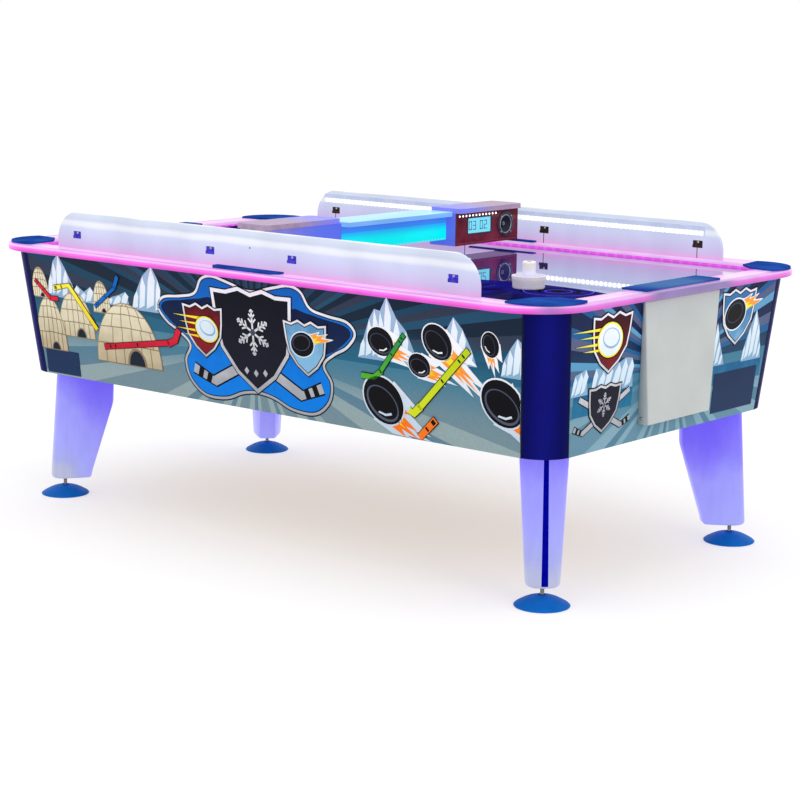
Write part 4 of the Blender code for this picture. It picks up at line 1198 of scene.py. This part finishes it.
def emblem(art):
    """The large badge in the middle of a side panel."""
    half = [(0, 0.448), (0.060, 0.440), (0.130, 0.416), (0.215, 0.416), (0.272, 0.458), (0.286, 0.515),
            (0.262, 0.560), (0.300, 0.592), (0.350, 0.618), (0.384, 0.660), (0.356, 0.694), (0.285, 0.704),
            (0.225, 0.718), (0.195, 0.760), (0.150, 0.774), (0.085, 0.762), (0, 0.744)]
    outline = smooth_loop(mirrored(half), 5)
    art.add("shadow", 1, inset(outline, -0.004))
    art.add("silver", 2, outline)
    art.add("ink", 3, inset(outline, 0.0075))
    art.add("blue", 4, inset(outline, 0.0105))
    wing = smooth_loop([(0.150, 0.585), (0.240, 0.585), (0.300, 0.605), (0.345, 0.635), (0.366, 0.660),
                        (0.345, 0.680), (0.275, 0.690), (0.210, 0.700), (0.150, 0.700)], 5)
    for sign in (1, -1):
        art.add("navy", 5, [(sign * u, v) for u, v in wing][::sign])
    crossed_sticks(art, (0, 0.560), 0.235, 0.095, 6)
    shield(art, "night", (0, 0.600), (0.156, 0.150), 9, border=0.011, top=0.09)
    snowflake(art, (0, 0.625), 0.066, 13)
    for k in (-1, 0, 1):
        u, v = 0.036 * k, 0.508 + 0.004 * abs(k)
        art.add("silver", 13, [(u - 0.009, v), (u, v - 0.011), (u + 0.009, v), (u, v + 0.011)])
    shield(art, "maroon", (-0.195, 0.610), (0.080, 0.078), 13)
    shield(art, "sky", (0.200, 0.602), (0.080, 0.078), 13)
    badge_comets(art, (-0.182, 0.614), (0.188, 0.612), 0.042, 17)


def badge_comets(art, left, right, radius, level):
    """A pale puck with yellow speed lines, and a dark one with a flame."""
    for rise, end in ((0.030, 3.2), (0.012, 2.6), (-0.008, 2.9), (-0.024, 2.2)):
        v = left[1] + rise
        art.add("yellow", level, [(left[0] - radius * end, v + 0.003), (left[0] - radius * 0.3, v - 0.005),
                                  (left[0] - radius * 0.3, v + 0.005)])

    def discs(at, lean, first, rows):
        for number, (ink, (du, dv), wide, tall) in enumerate(rows):
            art.add(ink, first + number,
                    ellipse((at[0] + du, at[1] + dv), (radius * wide, radius * tall), lean))

    discs(left, -12, level, (
        ("ink", (0, 0), 1.16, 0.96), ("yellow", (0, 0), 1.09, 0.89), ("ice_light", (0, 0), 1.0, 0.80),
        ("ice_shade", (0.004, 0.004), 0.74, 0.52), ("ice_light", (0.003, 0.006), 0.66, 0.44)))
    flame = [(-0.2, 1.0), (0.8, 1.05), (1.6, 1.35), (1.45, 1.02), (2.3, 1.25), (1.9, 0.85), (2.75, 0.80),
             (1.9, 0.42), (1.2, 0.20), (0.6, -0.6), (-0.2, -0.9)]
    for number, (ink, size) in enumerate((("ice_light", 1.0), ("orange", 0.90), ("yellow", 0.62))):
        art.add(ink, level + number, smooth_loop(
            [(right[0] + u * radius * size, right[1] + v * radius * size * 0.75) for u, v in flame][::-1], 3))
    discs(right, 12, level + 3, (
        ("ice_light", (0, 0), 1.10, 0.88), ("ink", (0, 0), 1.02, 0.80),
        ("slate", (-0.003, 0.005), 0.80, 0.54), ("ink", (-0.003, 0.004), 0.72, 0.47)))


def side_art(side, sign):
    art = Print(side, side_place(sign), 0)
    iceberg(art, -0.87, -0.735, 0.645, [(-0.845, 0.715), (-0.828, 0.755), (-0.803, 0.777), (-0.775, 0.735),
                                        (-0.750, 0.690)])
    iceberg(art, -0.76, -0.625, 0.640, [(-0.730, 0.690), (-0.700, 0.672), (-0.670, 0.690), (-0.640, 0.660)])
    iceberg(art, -0.495, -0.360, 0.640, [(-0.465, 0.700), (-0.435, 0.745), (-0.395, 0.777), (-0.372, 0.740)])
    iceberg(art, -0.610, -0.500, 0.645, [(-0.580, 0.668), (-0.545, 0.678), (-0.515, 0.690)])
    iceberg(art, 0.385, 0.600, 0.600, [(0.410, 0.655), (0.435, 0.710), (0.455, 0.738), (0.475, 0.735),
                                       (0.500, 0.776), (0.530, 0.720), (0.560, 0.690)])
    iceberg(art, 0.680, 0.790, 0.620, [(0.700, 0.712), (0.722, 0.744), (0.750, 0.715), (0.775, 0.665)])
    iceberg(art, 0.865, 0.940, 0.605, [(0.880, 0.650), (0.900, 0.680), (0.925, 0.710), (0.938, 0.700)])
    for at, size, level in (((-0.900, 0.640), (0.036, 0.088), 3), ((-0.625, 0.618), (0.036, 0.092), 3),
                            ((-0.748, 0.530), (0.078, 0.136), 5), ((-0.525, 0.470), (0.138, 0.182), 8),
                            ((-0.868, 0.480), (0.066, 0.160), 8)):
        igloo(art, at, size, level)
    stick(art, "yellow", [(-0.835, 0.672), (-0.765, 0.686), (-0.655, 0.562)], 0.014, 12)
    stick(art, "red", [(-0.920, 0.690), (-0.852, 0.636)], 0.010, 12, [(-0.856, 0.638), (-0.820, 0.640)])
    stick(art, "blue", [(-0.655, 0.632), (-0.556, 0.700)], 0.010, 12, [(-0.562, 0.696), (-0.542, 0.734)])
    stick(art, "red", [(-0.630, 0.513), (-0.345, 0.556)], 0.016, 15,
          [(-0.350, 0.553), (-0.318, 0.566), (-0.300, 0.600)])
    for at, radius, lean, trail, level in (
            ((0.838, 0.684), 0.032, 100, 0.085, 3), ((0.470, 0.652), 0.044, 162, 0.150, 5),
            ((0.665, 0.672), 0.050, 140, 0.235, 7), ((0.600, 0.603), 0.036, 165, 0.130, 9),
            ((0.868, 0.535), 0.068, 150, 0.160, 9), ((0.468, 0.492), 0.070, 145, 0.200, 12)):
        comet(art, at, radius, lean, trail, level)
    stick(art, "green", [(0.555, 0.680), (0.462, 0.568)], 0.012, 14,
          [(0.468, 0.572), (0.440, 0.552), (0.395, 0.552)])
    stick(art, "lime", [(0.768, 0.662), (0.590, 0.486)], 0.017, 16,
          [(0.596, 0.492), (0.570, 0.470), (0.556, 0.478)])
    stick(art, "orange", [(0.645, 0.462), (0.586, 0.406)], 0.020, 18)
    art.add("navy", 6, [(-0.905, 0.404), (-0.755, 0.404), (-0.755, 0.478), (-0.905, 0.478)])
    emblem(art)
    art.done()


def end_art(end, sign):
    art = Print(end, end_place(sign), 1)
    for left, right in ((-0.455, -0.190), (0.190, 0.455)):
        art.add("water", 1, [(left, 0.500), (right, 0.500), (right, 0.556), (left, 0.556)])
    iceberg(art, -0.468, -0.395, 0.556, [(-0.455, 0.612), (-0.430, 0.618), (-0.410, 0.624)], 2)
    iceberg(art, -0.385, -0.192, 0.552, [(-0.365, 0.622), (-0.330, 0.610), (-0.300, 0.628), (-0.262, 0.624),
                                         (-0.235, 0.634), (-0.205, 0.630)], 2)
    iceberg(art, 0.345, 0.450, 0.552, [(0.358, 0.600), (0.380, 0.650), (0.405, 0.695), (0.425, 0.655),
                                       (0.440, 0.600)], 2)
    iceberg(art, 0.192, 0.255, 0.556, [(0.202, 0.680), (0.222, 0.625), (0.240, 0.590)], 2)
    shield(art, "maroon", (-0.312, 0.682), (0.088, 0.080), 6)
    shield(art, "sky", (0.302, 0.686), (0.088, 0.080), 6)
    badge_comets(art, (-0.318, 0.690), (0.285, 0.694), 0.052, 10)
    crossed_sticks(art, (-0.318, 0.500), 0.118, 0.045, 6)
    shield(art, "night", (-0.318, 0.510), (0.072, 0.064), 9, top=0.10)
    snowflake(art, (-0.318, 0.520), 0.032, 13)
    art.add("navy", 6, [(0.212, 0.420), (0.428, 0.420), (0.436, 0.532), (0.212, 0.532)])
    art.done()


def cabinet():
    """Printed sheets on the panels themselves, with the flat art laid over them."""
    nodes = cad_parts
    for side, sign in SIDES.items():
        skin = print_finish(f"printed_sheet_{side}", 0, -sign, SIDE_SKY, SIDE_ICE)
        nodes[f"side_panel_{side}"].data.materials[0] = skin.material
        side_art(side, sign)
    for end, sign in ENDS.items():
        skin = print_finish(f"printed_sheet_{end}", 1, sign, END_SKY, END_ICE)
        nodes[f"end_panel_{end}"].data.materials[0] = skin.material
        end_art(end, sign)


def posts():
    """Quarter-round posts with a narrow dark trim along both edges."""
    for corner, signs in CORNERS.items():
        def sections(steps, start, end, outer, inner):
            made = []
            for z in (CABINET_BOTTOM, CABINET_TOP):
                half_x, half_y = half_size(z)
                centre = (half_x - POST_RADIUS, half_y - POST_RADIUS)
                loop = arc(centre, outer, start, end, steps) + arc(centre, inner, end, start, steps)
                made.append(flipped([(x, y, z) for x, y in loop], *signs))
            return made

        bm = bmesh.new()
        loft(bm, sections(32, 0, 90, POST_RADIUS, POST_RADIUS - PANEL))
        piece(f"post_{corner}", bm, "post", replaces=[f"corner_post_{corner}"], bevel=0.0006)
        bm = bmesh.new()
        for start, end in ((0.5, 3.5), (86.5, 89.5)):
            loft(bm, sections(3, start, end, POST_RADIUS + 0.0006, POST_RADIUS - 0.001))
        piece(f"post_trim_{corner}", bm, "trim")


# --- Legs and feet ----------------------------------------------------------------------------

def blade_front(z):
    """How far out along the diagonal the blade's nose is at height z: it leans in as it rises."""
    return 0.0416 - 0.0705 * (z - LEG_BOTTOM)


def blade_section(z):
    """The blade's outline at height z: distance out along the diagonal, and distance across it."""
    chamfer = 0.013
    outer = blade_front(z)
    if z >= LEG_KINK:
        inner = -0.153 - 0.041 * (z - LEG_KINK)
    else:
        share = max(z - LEG_BOTTOM - chamfer, 0) / (LEG_KINK - LEG_BOTTOM - chamfer)
        inner = -0.084 - 0.069 * share
    share = (z - LEG_BOTTOM) / (LEG_TOP - LEG_BOTTOM)
    half = (0.092 + 0.038 * share) / 2
    widest = outer - 0.040
    nose = [(widest + (outer - widest) * math.sin(a), 0.008 + (half - 0.008) * math.cos(a))
            for a in (math.radians(7.5 * i) for i in range(13))]
    side = [*nose[::-1], ((widest + inner) / 2, (half + 0.030) / 2), (inner + 0.010, 0.030),
            (inner + 0.002, 0.026), (inner, 0.021)]
    return side + [(t, -s) for t, s in reversed(side)]


def blade(corner, stand, rows):
    """The leg itself, with a well up its middle for the stem."""
    loops = [inset(blade_section(z), d) for z, d in rows]
    bm = bmesh.new()
    rings = loft(bm, [[stand(t, s, z) for t, s in loop] for loop, (z, d) in zip(loops, rows)],
                 cap_low=False)
    hole = arc((0, 0), 0.0072, 0, 360, 20)[-2::-1]
    well = [bm.verts.new(stand(t, s, LEG_BOTTOM)) for t, s in hole]
    roof = [bm.verts.new(stand(t, s, 0.150)) for t, s in hole]
    around = rings[0] + well
    for a, b, c in tessellate_polygon([[Vector((t, s, 0)) for t, s in loop] for loop in (loops[0], hole)]):
        bm.faces.new((around[a], around[b], around[c]))
    for i in range(len(well)):
        j = (i + 1) % len(well)
        bm.faces.new((well[i], well[j], roof[j], roof[i]))
    bm.faces.new(roof)
    piece(f"blade_{corner}", bm, "leg", smooth=30, replaces=[f"leg_{corner}"])


def leg_stripe(corner, stand, rows):
    """The navy line down a blade's nose, narrower toward the top."""
    bm = bmesh.new()
    stripe = []
    for z, d in rows:
        share = (z - LEG_BOTTOM) / (LEG_TOP - LEG_BOTTOM)
        width = 0.0095 - 0.0025 * share
        outer = blade_front(z) - d
        stripe.append([stand(t, s, z) for t, s in (
            (outer - 0.0020, -width), (outer - 0.0002, -width), (outer + 0.0006, -width * 0.7),
            (outer + 0.0008, 0), (outer + 0.0006, width * 0.7), (outer - 0.0002, width),
            (outer - 0.0020, width))])
    loft(bm, stripe)
    piece(f"stripe_{corner}", bm, "stripe")


def legs():
    """Four blades, set on the diagonals, each with a stripe and a plate at its top."""
    diagonal = math.sqrt(0.5)
    rounding = ((0.0, 0.0065), (0.001, 0.0040), (0.003, 0.0020), (0.006, 0.0006), (0.010, 0.0))
    rows = [(LEG_BOTTOM + h, d) for h, d in rounding]
    rows += [(LEG_BOTTOM + h, 0.0) for h in (0.018, 0.07, 0.15)]
    rows += [(LEG_KINK - 0.006, 0.0), (LEG_KINK + 0.006, 0.0), (LEG_TOP, 0.0)]
    for corner, (sx, sy) in CORNERS.items():
        def stand(t, s, z):
            return (sx * (FOOT_AT[0] + (t - s) * diagonal), sy * (FOOT_AT[1] + (t + s) * diagonal), z)

        blade(corner, stand, rows)
        leg_stripe(corner, stand, rows[3:])
        outline = inset(blade_section(LEG_TOP), 0.012)
        bm = extrude(bmesh.new(), [outline], stand, LEG_TOP + 0.00005, CABINET_BOTTOM - 0.00005)
        piece(f"leg_plate_{corner}", bm, "alloy")


BALL_Z, BALL_RADIUS = 0.0165, 0.0095


def foot_stem(corner, x, y):
    """A screw with a real thread, and a ball at its foot."""
    thread_low, thread_high, pitch, root, crest, steps = 0.033, 0.117, 0.00175, 0.0051, 0.0060, 24
    bm = bmesh.new()
    profile = [(0, BALL_Z - BALL_RADIUS)]
    profile += [(BALL_RADIUS * math.cos(a), BALL_Z + BALL_RADIUS * math.sin(a)) for a in
                (math.radians(-90 + 140 * i / 12) for i in range(1, 12))]
    profile += [(0.0048, BALL_Z + BALL_RADIUS), (0.0050, thread_low + 0.0005), (0, thread_low + 0.0005)]
    turned(bm, profile, steps, upright(x, y))
    rows = []
    for row in range(int((thread_high - thread_low) / pitch * 2) + 1):
        ring = []
        for i in range(steps + 1):
            a = 2 * math.pi * i / steps
            z = thread_low + pitch * (row / 2 + i / steps)
            reach = root if row % 2 else crest
            ring.append((x + reach * math.cos(a), y + reach * math.sin(a), min(z, thread_high)))
        rows.append(ring)
    grid = [[bm.verts.new(p) for p in ring] for ring in rows]
    for low, high in zip(grid, grid[1:]):
        for i in range(steps):
            bm.faces.new((low[i], low[i + 1], high[i + 1], high[i]))
    turned(bm, [(0, thread_low), (root, thread_low), (root, thread_high), (0.0042, thread_high + 0.001),
                (0, thread_high + 0.001)], steps, upright(x, y))
    piece(f"stem_{corner}", bm, "steel", f"stem_{corner}", replaces=[f"foot_stem_{corner}"])


def foot_pad(corner, x, y):
    """A domed pad with a socket for the stem's ball."""
    radius, socket = 0.074, 0.0101
    rim, neck, rise = 0.0042, 0.014, 0.0232
    profile = [(0, 0), (radius - 0.003, 0), (radius - 0.001, 0.0008), (radius, 0.0026),
               (radius - 0.0012, rim)]
    profile += [(radius + (neck - radius) * share, rim + rise * math.sin(math.pi / 2 * share))
                for share in (i / 14 for i in range(1, 14))]
    profile += [(0.0142, 0.0282), (0.0138, 0.0294), (0.012, 0.030), (0.0100, 0.0298)]
    mouth = math.acos(0.0088 / socket)
    profile.append((0.0096, BALL_Z + socket * math.sin(mouth) + 0.004))
    for i in range(8):
        a = mouth - (mouth + math.pi / 2) * i / 8
        profile.append((socket * math.cos(a), BALL_Z + socket * math.sin(a)))
    profile.append((0, BALL_Z - socket))
    bm = turned(bmesh.new(), profile, 72, upright(x, y))
    piece(f"pad_{corner}", bm, "pad", f"pad_{corner}", replaces=[f"foot_pad_{corner}"])


def feet():
    for corner, (sx, sy) in CORNERS.items():
        x, y = sx * FOOT_AT[0], sy * FOOT_AT[1]
        foot_stem(corner, x, y)
        foot_pad(corner, x, y)


# --- Puck covers ------------------------------------------------------------------------------

def covers():
    """White covers folded from sheet: an upright front, sloping sides, and a bolt at each lower corner."""
    front, (low, high), halves = 1.040, (0.444, 0.775), (0.1495, 0.1805)
    gap, wall, bolt_z = 0.0006, 0.005, 0.4600
    half = halves[0] + (halves[1] - halves[0]) * (bolt_z - low) / (high - low)
    bolt = [(0, -0.001), (0.0056, -0.001), (0.0056, 0.0008), (0.0046, 0.0026), (0.0020, 0.0034), (0, 0.0028)]
    for end, sign in ENDS.items():
        bm = bmesh.new()
        rings = []
        for z, reach in zip((low, high), halves):
            near = half_size(z)[0] + gap
            rings.append([bm.verts.new((sign * x, y, z)) for x, y in (
                (near, -reach), (front, -reach), (front, reach), (near, reach))])
        bottom, top = rings
        for i in range(3):
            bm.faces.new((bottom[i], bottom[i + 1], top[i + 1], top[i]))
        bm.faces.new(bottom)
        bm.faces.new(top)
        made = piece(f"cover_{end}", bm, "cover", f"cover_{end}", bevel=0.0035, segments=4,
                     replaces=[f"puck_cover_{end}"])
        shell = made.modifiers.new("sheet", "SOLIDIFY")
        shell.thickness = wall
        shell.offset = -1
        bolts = bmesh.new()
        for side in (-1, 1):
            at = (sign * (half_size(bolt_z)[0] + 0.0115), side * half, bolt_z)
            turned(bolts, bolt, 20, facing(at, (0, side, -0.09)))
        piece(f"cover_bolts_{end}", bolts, "steel", f"cover_{end}")


# --- Inside and underside ---------------------------------------------------------------------

def inside():
    """Finishes for the parts shown as they are, and a wire grille under the air intake."""
    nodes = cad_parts
    plain = {"cabinet_floor": "wood", "plenum_tray": "wood", "playfield": "field", "blower_housing": "black",
             "blower_motor": "steel", "blower_impeller": "alloy", "control_unit": "alloy"}
    plain.update({f"puck_box_{end}": "black" for end in ENDS})
    plain.update({f"guard_light_{side}": "channel" for side in SIDES})
    for name, finish in plain.items():
        nodes[name].data.materials[0] = FINISHES[finish].material
    bm = bmesh.new()
    centre = (-0.35, 0.0)
    z = CABINET_BOTTOM - 0.0014
    wire = 0.0012
    for radius in (0.012, 0.022, 0.032, 0.042, 0.052):
        turned(bm, ellipse((radius, z), (wire, wire), steps=8), 48, upright(*centre))
    for angle in (0, 90):
        c, s = math.cos(math.radians(angle)), math.sin(math.radians(angle))
        loft(bm, [[(centre[0] + t * c - d * s, centre[1] + t * s + d * c, z - 0.0024 + h) for d, h in (
            (-0.0015, 0), (0.0015, 0), (0.0015, 0.002), (-0.0015, 0.002))] for t in (-0.060, 0.060)])
    piece("intake_grille", bm, "dark_steel")


# --- Play pieces ------------------------------------------------------------------------------

def play_pieces():
    """Mallets with a cup round the grip and a screw in its top, and a puck with a groove in its face."""
    low = FIELD_TOP + HOVER
    scale = MALLET_RADIUS / 0.0485
    seat = 0.0742
    profile = [
        (0, 0), (0.0420, 0), (0.0440, 0.0008), (0.0452, 0.0028), (0.0455, 0.006), (0.0472, 0.022),
        (0.0476, 0.0232), (0.0485, 0.0340), (0.0483, 0.0354), (0.0474, 0.0362), (0.0440, 0.0362),
        (0.0430, 0.0352), (0.0420, 0.0180), (0.0400, 0.0140), (0.0235, 0.0120), (0.0205, 0.0130),
        (0.0192, 0.0160), (0.0188, 0.0660), (0.0190, 0.0690), (0.0186, 0.0725), (0.0172, 0.0745),
        (0.0150, 0.0752), (0.0090, 0.0752), (0.0080, seat), (0.0, seat),
    ]
    screw = [(0, seat), (0.0074, seat), (0.0070, 0.0750), (0.0030, 0.0755), (0.0024, 0.0748), (0, 0.0748)]
    profile, screw = [[(r * scale, z * scale) for r, z in points] for points in (profile, screw)]
    for end, sign in ENDS.items():
        at = (sign * MALLET_AT[0], MALLET_AT[1])
        bm = turned(bmesh.new(), profile, 72, upright(*at, low))
        piece(f"striker_{end}", bm, "mallet", f"mallet_{end}", smooth=50,
              replaces=[f"mallet_{end}"])
        bm = turned(bmesh.new(), screw, 24, upright(*at, low))
        piece(f"striker_screw_{end}", bm, "dark_steel", f"mallet_{end}")
    r, top = 0.035, 0.0065
    profile = [
        (0, 0), (r - 0.0012, 0), (r - 0.0003, 0.0004), (r, 0.0013), (r, top - 0.0013),
        (r - 0.0003, top - 0.0004), (r - 0.0012, top), (r - 0.004, top), (r - 0.0045, top - 0.0006),
        (r - 0.0065, top - 0.0006), (r - 0.007, top), (0.012, top), (0.0115, top - 0.0005),
        (0.0095, top - 0.0005), (0.009, top), (0, top),
    ]
    bm = turned(bmesh.new(), profile, 72, upright(*PUCK_AT, low))
    piece("puck_disc", bm, "puck", "puck", replaces=["puck"])


# --- Stage, lights and camera -----------------------------------------------------------------

def stage():
    """A pale floor, a white room and three soft lamps."""
    bm = bmesh.new()
    size = 40.0
    bm.faces.new([bm.verts.new((sx * size, sy * size, 0)) for sx, sy in ((-1, -1), (1, -1), (1, 1), (-1, 1))])
    mesh = bpy.data.meshes.new("floor")
    bm.to_mesh(mesh)
    bm.free()
    floor = bpy.data.objects.new("floor", mesh)
    bpy.context.scene.collection.objects.link(floor)
    made = Finish("pale_floor", Roughness=0.8, Specular_IOR_Level=0.0)
    made.colour(made.ramp(made.noise(0.6, 2.0), (0.3, (0.63, 0.63, 0.63)), (0.7, (0.65, 0.65, 0.65))))
    made.glow((1.0, 1.0, 1.0), 0.41)
    mesh.materials.append(made.material)

    scene = bpy.context.scene
    scene.view_settings.view_transform = "Standard"
    world = bpy.data.worlds.new("studio")
    world.use_nodes = True
    world.node_tree.nodes["Background"].inputs["Color"].default_value = (1, 1, 1, 1)
    world.node_tree.nodes["Background"].inputs["Strength"].default_value = 1.0
    scene.world = world
    lamps = (("key", (5.5, -1.2, 3.0), 2.5, 30), ("front", (1.0, -5.5, 3.2), 3.0, 12),
             ("top", (0, 0, 4.5), 4.0, 25))
    for name, at, size, power in lamps:
        light = bpy.data.lights.new(name, "AREA")
        light.size = size
        light.energy = power
        lamp = bpy.data.objects.new(name, light)
        lamp.matrix_world = facing(at, Vector(at) - Vector((0, 0, 0.6)))
        scene.collection.objects.link(lamp)


def camera():
    made = bpy.data.cameras.new("camera")
    made.lens = 93.26
    made.sensor_width = 36.0
    made.clip_end = 200.0
    holder = bpy.data.objects.new("camera", made)
    yaw, pitch, roll = [math.radians(a) for a in (40.2332, 10.5764, 0.682)]
    holder.matrix_world = (Matrix.Translation((3.9882, -4.6452, 1.5015)) @ Matrix.Rotation(yaw, 4, "Z")
                           @ Matrix.Rotation(math.pi / 2 - pitch, 4, "X") @ Matrix.Rotation(roll, 4, "Z"))
    bpy.context.scene.collection.objects.link(holder)
    bpy.context.scene.camera = holder


camera()
stage()
rail()
rail_lights()
caps()
guards()
guard_lights()
bridge()
score_boxes()
cabinet()
posts()
legs()
feet()
covers()
inside()
play_pieces()
